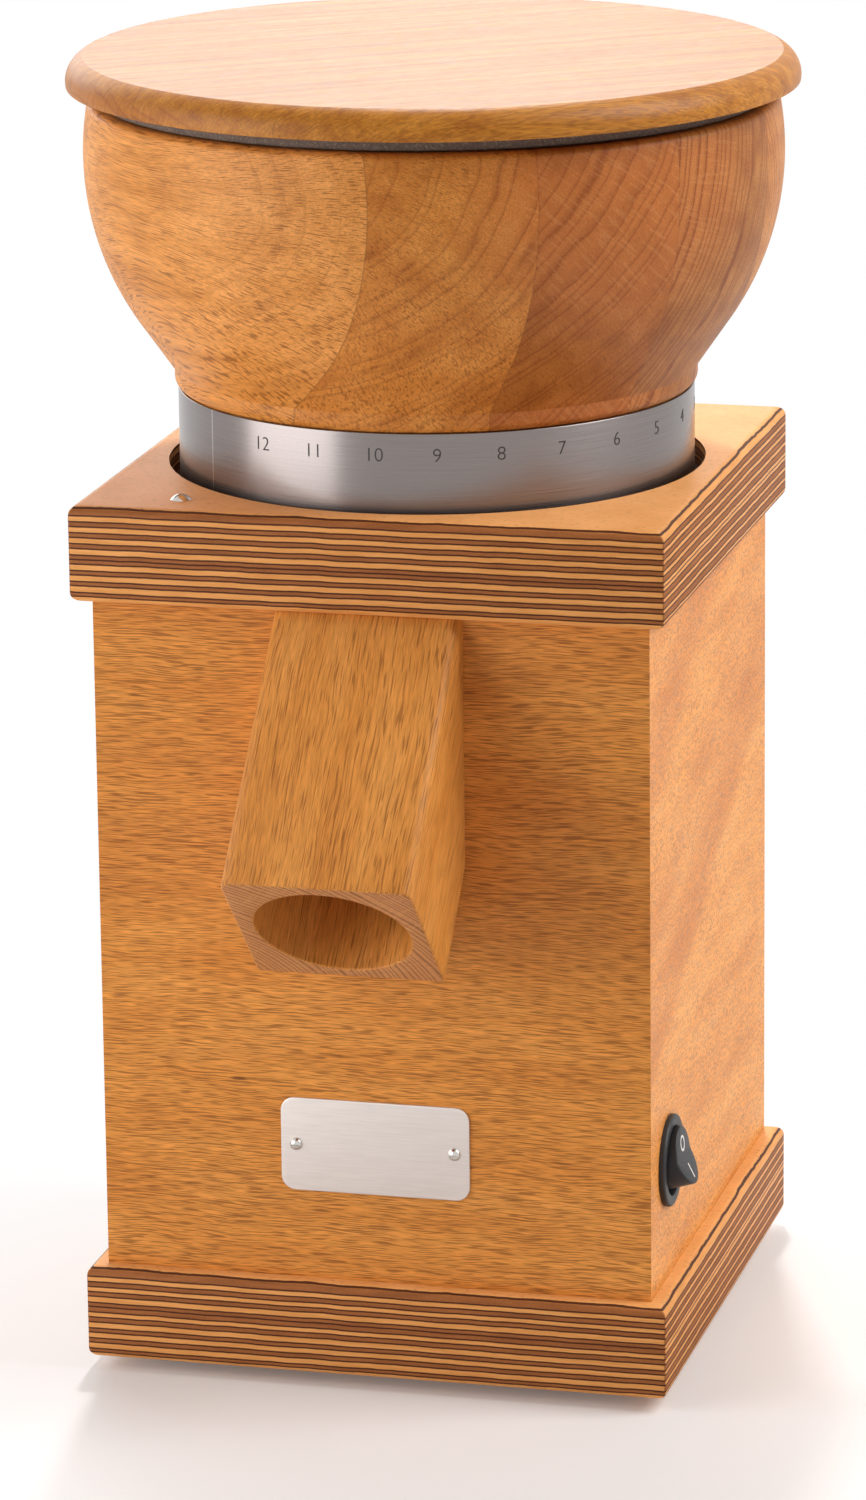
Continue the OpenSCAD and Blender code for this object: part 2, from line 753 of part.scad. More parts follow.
module spout() {
    half_w = spout_w / 2;
    half_d = spout_depth / 2;
    color("sandybrown") on_axis() difference() {
        intersection() {
            spout_frame() translate([0, 0, -spout_root]) linear_extrude(spout_len + spout_root) {
                for (x = [-half_w + spout_edge_r, half_w - spout_edge_r])
                    translate([x, half_d - spout_edge_r]) circle(r = spout_edge_r);
                for (x = [-half_w + spout_low_edge_r, half_w - spout_low_edge_r])
                    translate([x, -half_d + spout_low_edge_r]) circle(r = spout_low_edge_r);
                translate([-half_w + spout_edge_r, 0]) square([spout_w - 2 * spout_edge_r, half_d]);
                translate([-half_w, -half_d + spout_low_edge_r])
                    square([spout_w, spout_depth - spout_edge_r - spout_low_edge_r]);
                translate([-half_w + spout_low_edge_r, -half_d])
                    square([spout_w - 2 * spout_low_edge_r, half_d]);
            }
            translate([-plate_w, -2 * plate_w - half_body, 0])
                cube([2 * plate_w, 2 * plate_w, body_top_z]);
        }
        spout_frame() translate([0, 0, -spout_root])
            cylinder(r = spout_bore_r, h = spout_len + spout_root + past);
        spout_screw_places() cylinder(r = screw_r, h = spout_screw_len);
    }
}

module spout_screws() {
    color("silver") on_axis() spout_screw_places() wood_screw(spout_screw_len);
}

module name_screw_places() {
    for (x = [-name_screw_x, name_screw_x])
        translate([x, -half_body, name_plate_z]) rotate([90, 0, 0]) children();
}

module name_plate() {
    color("gainsboro") on_axis() difference() {
        translate([0, -half_body, 0]) rotate([90, 0, 0]) linear_extrude(name_plate_t)
            round_profile(name_plate_w, name_plate_z - name_plate_h / 2,
                          name_plate_z + name_plate_h / 2, name_plate_r);
        name_screw_places() cylinder(r = dome_shank_r(plate_screw_head_r), h = name_plate_t + past);
    }
}

module name_plate_screws() {
    color("silver") on_axis() name_screw_places() translate([0, 0, name_plate_t])
        dome_screw(plate_screw_head_r, small_screw_len + name_plate_t);
}

module index_screw() {
    color("silver") on_axis() rotate([0, 0, -90 - index_angle]) translate([recess_r + index_gap, 0, top_z])
        dome_screw(index_head_r, small_screw_len);
}

// Upright key slot or lug at the chamber wall, reaching out to radius r.
module key(w, r, z0, z1) {
    intersection() {
        translate([0, -w / 2, z0]) cube([r + past, w, z1 - z0]);
        disc(r, z0, z1);
    }
}

module grinding_chamber() {
    color("lightgray") on_axis() difference() {
        union() {
            disc(chamber_out_r, chamber_floor_z, flange_z);
            disc(retainer_r, recess_z, flange_z);
        }
        disc(chamber_r, chamber_floor_z - past, flange_z + past);
        intersection() {
            chute_line(chute_out_r, half_body);
            disc(chamber_out_r + past, chamber_floor_z - past, recess_z);
        }
        around(key_count, 0, back_angle)
            key(key_w, chamber_r + key_depth, key_slot_z, flange_z + past);
        retainer_screw_places() disc(screw_r, recess_z - past, flange_z + past);
        chamber_screw_places() disc(bolt_r, chamber_floor_z - past, shield_z + chamber_bolt_len);
    }
}

// Straight tube from the chamber through the front panel, flush with the panel's face.
module flour_chute() {
    color("lightgray") on_axis() difference() {
        intersection() {
            chute_line(chute_out_r, half_body);
            translate([-half_inside, -half_body, 0]) cube([2 * half_inside, half_body, recess_z]);
        }
        chute_line(chute_r, 2 * half_body);
        disc(chamber_r, chamber_floor_z, top_z);
        disc(chamber_out_r, 0, chamber_floor_z);
    }
}

module chamber_screws() {
    color("silver") on_axis() chamber_screw_places() translate([0, 0, shield_z])
        metal_screw(chamber_bolt_len);
}

module retaining_ring() {
    color("silver") on_axis() difference() {
        union() {
            tube(retainer_r, retainer_in_r, retainer_z, retainer_top_z);
            tube(retainer_r, retainer_r - retainer_collar_w, flange_z, retainer_top_z);
        }
        retainer_screw_places() translate([0, 0, retainer_top_z])
            mirror([0, 0, 1]) wood_screw(retainer_screw_len);
    }
}

module retaining_screws() {
    color("silver") on_axis() retainer_screw_places() translate([0, 0, retainer_top_z])
        mirror([0, 0, 1]) wood_screw(retainer_screw_len);
}

module upper_shield() {
    color("silver") on_axis() difference() {
        union() {
            disc(chamber_out_r, shield_z, chamber_floor_z);
            tube(motor_r, motor_in_r, stator_top_z, shield_z);
            disc(bearing_seat_r, upper_bearing_z - bearing_w / 2, shield_z);
        }
        disc(shaft_r + free_gap, shield_z - bearing_w - past, chamber_floor_z + past);
        disc(bearing_r, upper_bearing_z - bearing_w / 2 - past, upper_bearing_z + bearing_w / 2);
        disc(seal_ring_r, chamber_floor_z - seal_ring_w, chamber_floor_z + past);
        chamber_screw_places() disc(bolt_r, shield_z - past, chamber_floor_z + past);
        motor_screw_places() disc(bolt_r, stator_top_z - past, shield_z + motor_bolt_depth);
    }
}

module lower_shield() {
    color("silver") on_axis() difference() {
        union() {
            disc(motor_r, lower_shield_z, lower_shield_z + lower_shield_t);
            tube(motor_r, motor_in_r, lower_shield_z, stator_z);
            disc(bearing_seat_r, lower_shield_z, lower_bearing_z + bearing_w);
        }
        disc(shaft_r + free_gap, lower_shield_z - past, lower_bearing_z + bearing_w);
        disc(bearing_r, lower_bearing_z, lower_bearing_z + bearing_w + past);
        motor_screw_places() disc(bolt_r, lower_shield_z - past, stator_z + past);
    }
}

module stator_core() {
    color("dimgray") on_axis() difference() {
        tube(motor_r, stator_bore_r, stator_z, stator_top_z);
        motor_screw_places() disc(bolt_r, stator_z - past, stator_top_z + past);
    }
}

module end_windings() {
    color("orangered") on_axis() {
        winding_in_r = motor_in_r - winding_w - 2 * free_gap;
        tube(winding_in_r + winding_w, winding_in_r, stator_top_z, stator_top_z + winding_h);
        tube(winding_in_r + winding_w, winding_in_r, stator_z - winding_h, stator_z);
    }
}

module motor_screws() {
    bolt_len = shield_z + motor_bolt_depth - lower_shield_z;
    color("silver") on_axis() motor_screw_places() translate([0, 0, lower_shield_z])
        metal_screw(bolt_len);
}

module bearings() {
    color("silver") on_axis() {
        for (z = [upper_bearing_z - bearing_w / 2, lower_bearing_z])
            tube(bearing_r, shaft_r + running_fit, z, z + bearing_w);
    }
}

module shaft_seal() {
    color("black") on_axis()
        tube(seal_ring_r, shaft_r + running_fit, chamber_floor_z - seal_ring_w, chamber_floor_z);
}

module motor_shaft() {
    color("silver") on_axis() disc(shaft_r, fan_z, lower_stone_top_z);
}

module rotor_core() {
    color("gray") on_axis() tube(rotor_r, shaft_r, stator_z, stator_top_z);
}

module cooling_fan() {
    color("black") on_axis() {
        tube(fan_hub_r, shaft_r, fan_z, fan_top_z);
        tube(fan_r, shaft_r, fan_top_z - fan_sheet_t, fan_top_z);
        around(blade_count, 0) translate([fan_hub_r - fan_sheet_t, -fan_sheet_t / 2, fan_z])
            cube([fan_r - fan_hub_r, fan_sheet_t, fan_h]);
    }
}

module stone_carrier() {
    color("silver") on_axis() difference() {
        union() {
            disc(stone_r, carrier_z, lower_stone_z);
            disc(carrier_hub_r, chamber_floor_z + free_gap, carrier_hub_top_z);
            around(sweeper_count, 0) intersection() {
                translate([0, -sweeper_w / 2, carrier_z]) cube([chamber_r, sweeper_w, carrier_t]);
                disc(chamber_r - 2 * free_gap, carrier_z, lower_stone_z);
            }
        }
        disc(shaft_r, 0, top_z);
    }
}

module lower_stone() {
    color("gray") on_axis() tube(stone_r, stone_eye_r, lower_stone_z, lower_stone_top_z);
}

module carrier_nut() {
    color("silver") on_axis()
        tube(carrier_hub_r, shaft_r, carrier_hub_top_z, carrier_hub_top_z + carrier_nut_t);
}

module stone_holder() {
    color("lightgray") on_axis() difference() {
        union() {
            disc(holder_r, holder_z, holder_top_z);
            disc(setting_thread_r - thread_fit, holder_z, holder_neck_top_z);
            tube(holder_r, stone_r, holder_z - holder_skirt, holder_top_z);
            around(key_count, 0, back_angle)
                key(key_w - 2 * free_gap, chamber_r + key_depth - free_gap, holder_z, holder_top_z);
        }
        disc(neck_in_r, holder_z - past, holder_neck_top_z + past);
    }
}

module upper_stone() {
    color("gray") on_axis() tube(stone_r, stone_eye_r, upper_stone_z, holder_z);
}

module hopper_base() {
    color("whitesmoke") on_axis() difference() {
        union() {
            disc(base_lip_r, base_z, lip_top_z);
            disc(base_hub_r, base_z, bowl_z);
            disc(sleeve_r, sleeve_z, bowl_z);
            disc(throat_r + throat_tube_wall, throat_z, bowl_z);
        }
        difference() {
            disc(setting_thread_r, sleeve_z - past, thread_top_z);
            disc(throat_r + throat_tube_wall, sleeve_z - past, thread_top_z);
        }
        disc(throat_r, 0, rim_z);
        base_screw_places()
            screw_hole(bowl_z - base_z + base_screw_depth, base_z);
    }
}

module base_screws() {
    color("silver") on_axis() base_screw_places()
        screw_hole(bowl_z - base_z + base_screw_depth, base_z);
}

// Half section of the bowl's solid outside, from the axis out.
module bowl_outside() {
    translate([0, bowl_z]) square([ring_in_r, ring_top_z - bowl_z]);
    translate([0, ring_top_z]) square([neck_r - neck_round, neck_round]);
    intersection() {
        translate([neck_r - neck_round, ring_top_z + neck_round]) circle(r = neck_round);
        translate([0, ring_top_z]) square([neck_r, neck_top_z]);
    }
    translate([0, ring_top_z + neck_round]) square([neck_r, neck_h - neck_round]);
    polygon([[0, neck_top_z], [neck_r, neck_top_z], [flare_r, flare_z], [0, flare_z]]);
    intersection() {
        translate([bowl_curve_x, bowl_wide_z]) circle(r = bowl_curve_r, $fn = turned_fn);
        translate([0, flare_z]) square([bowl_r + past, rim_z - flare_z]);
    }
}

// Half section of the hollow inside: the side's curve moved in by the wall, over a level floor.
module bowl_cavity() {
    intersection() {
        union() {
            translate([bowl_curve_x, bowl_wide_z]) circle(r = cavity_curve_r, $fn = turned_fn);
            translate([bowl_curve_x - bowl_r, bowl_wide_z - cavity_curve_r])
                square([bowl_r, cavity_curve_r + rim_z]);
        }
        translate([0, cavity_floor_z]) square([bowl_r, rim_z]);
    }
}

module hopper_bowl() {
    color("sandybrown") on_axis() difference() {
        rotate_extrude($fn = turned_fn) difference() {
            bowl_outside();
            bowl_cavity();
            translate([0, bowl_z - past]) square([throat_r, rim_z]);
            difference() {
                translate([rim_round_x, rim_z - rim_round]) square([2 * rim_round, 2 * rim_round]);
                translate([rim_round_x, rim_z - rim_round]) circle(r = rim_round);
            }
        }
        base_screw_places() disc(screw_r, bowl_z - past, bowl_z + base_screw_depth);
    }
}

module setting_ring() {
    color("silver") on_axis() tube(ring_r, ring_in_r, ring_z, ring_top_z);
}

module lid() {
    color("wheat") on_axis() rotate_extrude($fn = turned_fn) {
        translate([0, lid_z - lid_step_depth]) square([lid_step_r, lid_step_depth]);
        translate([0, lid_z]) square([lid_r - lid_edge_r, lid_t]);
        intersection() {
            translate([lid_r - lid_edge_r, lid_z + lid_t - lid_edge_r]) circle(r = lid_edge_r);
            translate([0, lid_z]) square([lid_r, lid_t]);
        }
    }
}

module lid_seal() {
    color("gray") on_axis() tube(seal_in_r + seal_w, seal_in_r, seal_z, lid_z);
}

module switch_housing() {
    color("black") on_axis() translate([half_body, switch_y, switch_z]) rotate([0, 90, 0]) difference() {
        union() {
            cylinder(r = bezel_r, h = bezel_t);
            translate([0, 0, -switch_depth]) cylinder(r = barrel_r, h = switch_depth);
        }
        translate([0, 0, -well_depth]) cylinder(r = well_r, h = well_depth + bezel_t + past);
        translate([0, 0, pivot_x - half_body]) rotate([90, 0, 0])
            cylinder(r = pivot_r, h = 2 * bezel_r, center = true);
    }
}

module rocker() {
    end_h = rocker_h + rocker_r * tan(rocker_slope);
    color("black") on_axis() translate([pivot_x, switch_y, switch_z]) rotate([0, 90 - rocker_tilt, 0]) {
        intersection() {
            translate([0, 0, -rocker_back]) cylinder(r = rocker_r, h = rocker_back + end_h);
            rotate([90, 0, 0]) translate([0, 0, -rocker_r]) linear_extrude(2 * rocker_r)
                polygon([[-rocker_r, -rocker_back], [rocker_r, -rocker_back], [rocker_r, end_h],
                         [0, rocker_h], [-rocker_r, end_h]]);
        }
        rotate([90, 0, 0])
            cylinder(r = pivot_r - running_fit, h = 2 * (barrel_r - free_gap), center = true);
    }
}

module switch_terminals() {
    color("gold") on_axis() for (z = [switch_z - terminal_w, switch_z + terminal_w])
        translate([terminal_end_x, switch_y - terminal_w / 2, z - clip_t / 2])
            cube([terminal_len, terminal_w, clip_t]);
}

module capacitor() {
    color("whitesmoke") on_axis() translate([0, capacitor_y, capacitor_z]) rotate([0, 90, 0])
        cylinder(r = capacitor_r, h = capacitor_len, center = true);
}

module capacitor_clip() {
    color("silver") on_axis() difference() {
        union() {
            translate([0, capacitor_y, capacitor_z]) rotate([0, 90, 0])
                cylinder(r = capacitor_r + clip_t, h = clip_w, center = true);
            translate([-clip_w / 2, capacitor_y - capacitor_r - clip_w, floor_z])
                cube([clip_w, capacitor_r + clip_w, clip_t]);
        }
        translate([0, capacitor_y, capacitor_z]) rotate([0, 90, 0])
            cylinder(r = capacitor_r, h = clip_w + past, center = true);
    }
}

module terminal_block() {
    color("ivory") on_axis() translate([block_x - block_side / 2, -block_len / 2, floor_z])
        cube([block_side, block_len, block_side]);
}

module inlet_gland() {
    color("black") on_axis() translate([inlet_x, 0, inlet_z]) rotate([-90, 0, 0]) difference() {
        union() {
            translate([0, 0, inlet_end_y]) cylinder(r = gland_r, h = half_body - inlet_end_y);
            translate([0, 0, half_body]) cylinder(r = gland_head_r, h = gland_head_t);
        }
        cylinder(r = inlet_r, h = plate_w);
    }
}

module gland_nut() {
    color("black") on_axis() translate([inlet_x, half_inside, inlet_z]) rotate([90, 0, 0]) difference() {
        cylinder(r = gland_head_r + clip_t, h = nut_t, $fn = 6);
        translate([0, 0, -past]) cylinder(r = gland_r, h = nut_t + 2 * past);
    }
}

// Round lead along straight legs between the given points, with a ball at each corner.
module lead(points) {
    last = len(points) - 1;
    for (i = [0 : last - 1]) {
        leg = points[i + 1] - points[i];
        translate(points[i]) rotate([0, acos(leg[2] / norm(leg)), atan2(leg[1], leg[0])])
            cylinder(r = wire_r, h = norm(leg));
        if (i > 0) translate(points[i]) sphere(r = wire_r + corner_bulge);
    }
}

module lead_wires() {
    quarter = block_len / 4;
    low_z = switch_z - terminal_w;
    color("saddlebrown") on_axis() {
        lead([[block_x, -quarter, block_top_z], [block_x, -quarter, wire_z],
              [block_x, switch_y, wire_z], [-block_x, switch_y, wire_z],
              [terminal_end_x - terminal_len, switch_y, low_z], [terminal_end_x, switch_y, low_z]]);
        lead([[block_x, 0, block_top_z], [block_x, 0, wire_z], [wire_side_x, 0, wire_z],
              [wire_side_x, 0, stator_z], [-motor_r, 0, stator_z]]);
    }
}

top_plate();
bottom_plate();
front_panel();
back_panel();
left_panel();
right_panel();
corner_blocks();
top_screws();
feet();
foot_screws();
spout();
spout_screws();
name_plate();
name_plate_screws();
index_screw();
grinding_chamber();
flour_chute();
chamber_screws();
retaining_ring();
retaining_screws();
upper_shield();
lower_shield();
stator_core();
end_windings();
motor_screws();
bearings();
shaft_seal();
capacitor();
capacitor_clip();
switch_housing();
switch_terminals();
terminal_block();
inlet_gland();
gland_nut();
lead_wires();
motor_shaft();
rotor_core();
cooling_fan();
stone_carrier();
lower_stone();
carrier_nut();
hopper_bowl();
setting_ring();
hopper_base();
base_screws();
stone_holder();
upper_stone();
lid();
lid_seal();
rocker();
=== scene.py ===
from functools import partial
from math import cos, pi, radians, sin, tan

import bmesh
import bpy
from mathutils import Euler, Matrix, Vector


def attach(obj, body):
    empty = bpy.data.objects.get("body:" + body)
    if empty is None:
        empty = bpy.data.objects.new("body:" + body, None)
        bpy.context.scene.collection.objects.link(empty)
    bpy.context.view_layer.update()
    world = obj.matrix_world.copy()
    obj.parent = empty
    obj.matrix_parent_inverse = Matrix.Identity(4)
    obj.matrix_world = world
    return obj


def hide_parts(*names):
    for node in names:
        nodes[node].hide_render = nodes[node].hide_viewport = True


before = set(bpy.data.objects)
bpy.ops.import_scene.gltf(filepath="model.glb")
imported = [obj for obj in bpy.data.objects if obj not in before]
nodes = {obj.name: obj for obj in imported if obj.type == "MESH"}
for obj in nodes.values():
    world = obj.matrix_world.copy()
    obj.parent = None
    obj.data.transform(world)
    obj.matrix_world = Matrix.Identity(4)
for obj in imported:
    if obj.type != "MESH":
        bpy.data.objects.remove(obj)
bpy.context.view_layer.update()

mm = 0.001
hair = 0.01 * mm  # places nearer than this count as one
axis = Vector((0, 20.34445 * mm, 0))  # the hopper's axis stands here
print("frame loaded")

# the camera
cameraLook = {
    "place": (0.51226, -1.99482, 0.73973),  # metres
    "azimuth": 14.329,  # degrees round from the front
    "elevation": 15.020,
    "roll": -0.646,
    "lens": 163.445,
    "sensor": 36.0,
}


def placeCamera(look):
    turn, rise, roll = (radians(look[k]) for k in ("azimuth", "elevation", "roll"))
    back = Vector((sin(turn) * cos(rise), -cos(turn) * cos(rise), sin(rise)))
    right = Vector((cos(turn), sin(turn), 0))
    up = back.cross(right)
    rolledRight = cos(roll) * right + sin(roll) * up
    rolledUp = -sin(roll) * right + cos(roll) * up
    camera = bpy.data.objects.new("studioCamera", bpy.data.cameras.new("studioCamera"))
    bpy.context.scene.collection.objects.link(camera)
    camera.data.lens, camera.data.sensor_width = look["lens"], look["sensor"]
    camera.matrix_world = Matrix.Translation(look["place"]) @ Matrix(
        (rolledRight, rolledUp, back)).transposed().to_4x4()
    bpy.context.scene.camera = camera


placeCamera(cameraLook)
bpy.context.scene.view_settings.view_transform = "Standard"
print("camera placed")


# shading helpers
def linear(code):
    # sRGB hex to the linear colour the shaders work in
    parts = [int(code[i:i + 2], 16) / 255 for i in (1, 3, 5)]
    return tuple(p / 12.92 if p <= 0.04045 else ((p + 0.055) / 1.055) ** 2.4 for p in parts) + (1.0,)


def grey(level):
    return (level, level, level, 1.0)


soft = {"interpolation_type": "SMOOTHSTEP"}  # a range that eases in and out


def addNode(tree, kind, inputs=None, stops=(), **settings):
    # one node with its settings, its ramp stops and its inputs; an input is a value, a socket,
    # or a node, which feeds it from the first output that is in use
    made = tree.nodes.new("ShaderNode" + kind)
    for name, value in settings.items():
        setattr(made, name, value)
    for name, value in (inputs or {}).items():
        if isinstance(value, bpy.types.Node):
            value = next(output for output in value.outputs if output.enabled)
        if isinstance(value, bpy.types.NodeSocket):
            tree.links.new(value, made.inputs[name])
        else:
            made.inputs[name].default_value = value
    if stops:
        ramp = made.color_ramp
        while len(ramp.elements) < len(stops):
            ramp.elements.new(0.5)
        for element, (place, colour) in zip(ramp.elements, stops):
            element.position, element.color = place, colour
    return made


def startTree(owner):
    # empties the nodes of a material or world, and gives the call that adds one to it
    owner.use_nodes = True
    owner.node_tree.nodes.clear()
    return partial(addNode, owner.node_tree)


def newMaterial(name):
    made = bpy.data.materials.new(name)
    return made, startTree(made)


def driftTones(add, look, noise):
    # a tone and a roughness that go up and down with a noise
    share = add("MapRange", {"Value": noise, "From Min": 0.3, "From Max": 0.7})
    colour = add("Mix", {0: share, 6: linear(look["toneDeep"]), 7: linear(look["tone"])}, data_type="RGBA")
    return colour, add("MapRange", {"Value": share, "To Min": look["rough"][0], "To Max": look["rough"][1]})


def endTree(add, look, height, **inputs):
    # the output, fed by a shader whose fine relief follows the given height
    inputs["Normal"] = add("Bump", {"Height": height, "Strength": look["relief"],
                                    "Distance": look["depth"] * mm})
    shader = add("BsdfPrincipled", {name.replace("_", " "): value for name, value in inputs.items()})
    add("OutputMaterial", {"Surface": shader})


# European beech, turned or planed and oiled: a warm even ground, fine dark ray flecks
# along the fibre, soft growth rings, and pinker end grain with pale rays
beechLook = {
    "turn": 0.0, "lean": 0.0, "roll": 0.0,  # degrees that lay the fibre, x, in the piece
    "centre": (0.0, 0.0, 0.0),  # mm, the middle of the board
    "reach": 80.0,  # mm from the board to the heart of the tree
    "sway": 5.0, "swayScale": 0.018,  # mm that the fibre wanders, and waves in a mm
    "tones": ("#DE9244", "#D08434", "#BE7228"),  # light, ground and deep
    "cloud": (60.0, 10.0, 10.0),  # mm, size of the lighter and darker patches
    "pore": (7.0, 0.55, 0.55), "poreShade": (0.8, 1.16),  # mm, coarser than real pores so that they show
    "ring": "#7E3C12", "ringGap": 4.0, "ringDepth": 0.3,
    # years that the rings stray across a board and outwards, and waves of that in a mm
    "ringSway": 1.0, "wobbleScale": 0.05, "ringDrift": 3.0, "driftScale": 0.11,
    # place in a year's growth, and how much of the ring's tone it takes
    "year": ((0.0, 0.3), (0.1, 0.0), (0.55, 0.0), (0.84, 0.45), (0.93, 1.0), (1.0, 0.4)),
    "ray": "#6E360E", "rayDepth": 0.64, "rayCut": (0.46, 0.66),
    "raySize": (4.0, 2.4, 0.3),  # mm, spacing of the flecks along the fibre, deep and across
    "crowd": 0.7, "crowdScale": 0.07,  # share of the flecks that the thinnest patches keep
    "endFrom": 0.84, "endGround": "#BC6E38", "endDepth": 0.6, "endRing": 0.6,
    "endRay": "#E0A468", "endRayDepth": 0.14, "endRaySize": (6.0, 9.0, 0.9),  # mm
    "knots": (), "knot": "#5E2E10", "knotDepth": 0.85,  # place in the piece, length and width, mm
    "band": "#BE6A2A", "bandDepth": 0.0, "bandTilt": 0.0, "bandGap": 60.0,
    "joints": (), "jointTurn": 0.0, "jointWidth": 0.16, "joint": "#6E421E", "jointDepth": 0.35,
    "rough": 0.45, "shine": 0.24, "relief": 0.35, "depth": 0.12,  # mm
}


def beech(name, **changes):
    look = dict(beechLook, **changes)
    made, add = newMaterial(name)
    laid = Euler([radians(look[k]) for k in ("roll", "lean", "turn")])
    heart = Vector(look["centre"]) - laid.to_matrix() @ Vector((0, look["reach"], 0))
    place = add("TexCoord")
    inPiece = place.outputs["Object"]
    board = add("Mapping", {"Vector": inPiece, "Location": heart * mm, "Rotation": laid,
                            "Scale": (mm, mm, mm)}, vector_type="TEXTURE")
    # the fibre wanders a little over a hand's width
    wander = add("TexNoise", {"Vector": board, "Scale": look["swayScale"], "Detail": 2.0})
    centred = add("VectorMath", {0: wander.outputs["Color"], 1: (0.5, 0.5, 0.5)}, operation="SUBTRACT")
    bent = add("VectorMath", {0: centred, 1: (look["sway"],) * 3, 2: board}, operation="MULTIPLY_ADD")
    along, across, up = add("SeparateXYZ", {0: bent}).outputs
    radius = add("VectorMath", {0: add("CombineXYZ", {1: across, 2: up})}, operation="LENGTH")
    angle = add("Math", {0: up, 1: across}, operation="ARCTAN2")
    around = add("Math", {0: angle, 1: look["reach"]}, operation="MULTIPLY")
    grain = add("CombineXYZ", {0: along, 1: radius, 2: around})
    # the places in the grain, each counted in the size of its own pattern
    rayPlace, cloudPlace, porePlace, threadPlace = (
        add("VectorMath", {0: grain, 1: [1 / s for s in size]}, operation="MULTIPLY")
        for size in (look["raySize"], look["cloud"], look["pore"], look["endRaySize"]))

    # flecks: the cut rays, long in the fibre, deep towards the heart and thin across
    rays = add("TexNoise", {"Vector": rayPlace, "Scale": 1.0, "Detail": 0.4, "Roughness": 0.5})
    fleck = add("MapRange", {"Value": rays, "From Min": look["rayCut"][0],
                             "From Max": look["rayCut"][1]}, **soft)
    crowd = add("TexNoise", {"Vector": board, "Scale": look["crowdScale"], "Detail": 2.0})
    crowded = add("MapRange", {"Value": crowd, "From Min": 0.3, "From Max": 0.62, "To Min": look["crowd"]})
    flecks = add("Math", {0: fleck, 1: crowded}, operation="MULTIPLY")

    # growth rings: a slow darkening and a quick return, at uneven spacing
    drift = add("TexNoise", {"W": radius, "Scale": look["driftScale"], "Detail": 1.0}, noise_dimensions="1D")
    wobble = add("TexNoise", {"Vector": board, "Scale": look["wobbleScale"], "Detail": 2.0})
    drifted = add("Math", {0: drift, 1: look["ringDrift"]}, operation="MULTIPLY")
    wobbled = add("Math", {0: wobble, 1: look["ringSway"], 2: drifted}, operation="MULTIPLY_ADD")
    counted = add("Math", {0: radius, 1: 1 / look["ringGap"], 2: wobbled}, operation="MULTIPLY_ADD")
    phase = add("Math", {0: counted}, operation="FRACT")
    rings = add("ValToRGB", {0: phase}, [(part, grey(share)) for part, share in look["year"]])

    # cloudy ground and the fine pores along the fibre
    cloud = add("TexNoise", {"Vector": cloudPlace, "Scale": 1.0, "Detail": 3.0})
    light, ground, deep = (linear(tone) for tone in look["tones"])
    colour = add("ValToRGB", {0: cloud}, [(0.3, deep), (0.5, ground), (0.7, light)])
    pores = add("TexNoise", {"Vector": porePlace, "Scale": 1.0, "Detail": 2.0, "Roughness": 0.6})
    poreShade, rough = (
        add("MapRange", {"Value": pores, "From Min": 0.3, "From Max": 0.7, "To Min": low, "To Max": high})
        for low, high in (look["poreShade"], (look["rough"] - 0.06, look["rough"] + 0.08)))

    # how squarely the surface cuts the fibre
    square = add("VectorMath", {0: place.outputs["Normal"], 1: laid.to_matrix() @ Vector((1, 0, 0))},
                 operation="DOT_PRODUCT")
    facing = add("Math", {0: square}, operation="ABSOLUTE")
    ended = add("MapRange", {"Value": facing, "From Min": look["endFrom"], "From Max": 0.98}, **soft)

    # the tones that lie over the ground, in their order from below, each with its share
    layers = [("endGround", add("Math", {0: ended, 1: look["endDepth"]}, operation="MULTIPLY"))]
    if look["bandDepth"]:
        # broad redder bands of heartwood that lie a little aslant in the veneer
        tilt, gap = look["bandTilt"], look["bandGap"]
        slope = add("VectorMath", {0: bent, 1: (tilt / gap, 0, 1 / gap)}, operation="DOT_PRODUCT")
        bands = add("TexNoise", {"W": slope, "Scale": 1.0, "Detail": 3.0, "Roughness": 0.45},
                    noise_dimensions="1D")
        banded = add("MapRange", {"Value": bands, "From Min": 0.48, "From Max": 0.66,
                                  "To Max": look["bandDepth"]}, **soft)
        layers.append(("band", banded))
    ringShare = add("MapRange", {"Value": ended, "To Min": look["ringDepth"], "To Max": look["endRing"]})
    layers.append(("ring", add("Math", {0: rings, 1: ringShare}, operation="MULTIPLY")))
    # on end grain the rays are pale threads that run out from the heart across the rings
    threads = add("TexNoise", {"Vector": threadPlace, "Scale": 1.0, "Detail": 0.3})
    thread = add("MapRange", {"Value": threads, "From Min": 0.54, "From Max": 0.68,
                              "To Max": look["endRayDepth"]}, **soft)
    layers.append(("endRay", add("Math", {0: thread, 1: ended}, operation="MULTIPLY")))
    fleckShare = add("MapRange", {"Value": ended, "To Min": look["rayDepth"], "To Max": 0.0})
    layers.append(("ray", add("Math", {0: flecks, 1: fleckShare}, operation="MULTIPLY")))
    for spot, long, wide in look["knots"]:
        # a pin knot, dark and drawn out along the fibre
        spotPlace = add("Mapping", {"Vector": inPiece, "Location": Vector(spot) * mm, "Rotation": laid,
                                    "Scale": (long * mm / 2, wide * mm / 2, wide * mm / 2)},
                        vector_type="TEXTURE")
        spotFar = add("VectorMath", {0: spotPlace}, operation="LENGTH")
        knot = add("MapRange", {"Value": spotFar, "From Min": 0.3, "From Max": 1.0,
                                "To Min": look["knotDepth"], "To Max": 0.0}, **soft)
        layers.append(("knot", knot))
    if look["joints"]:
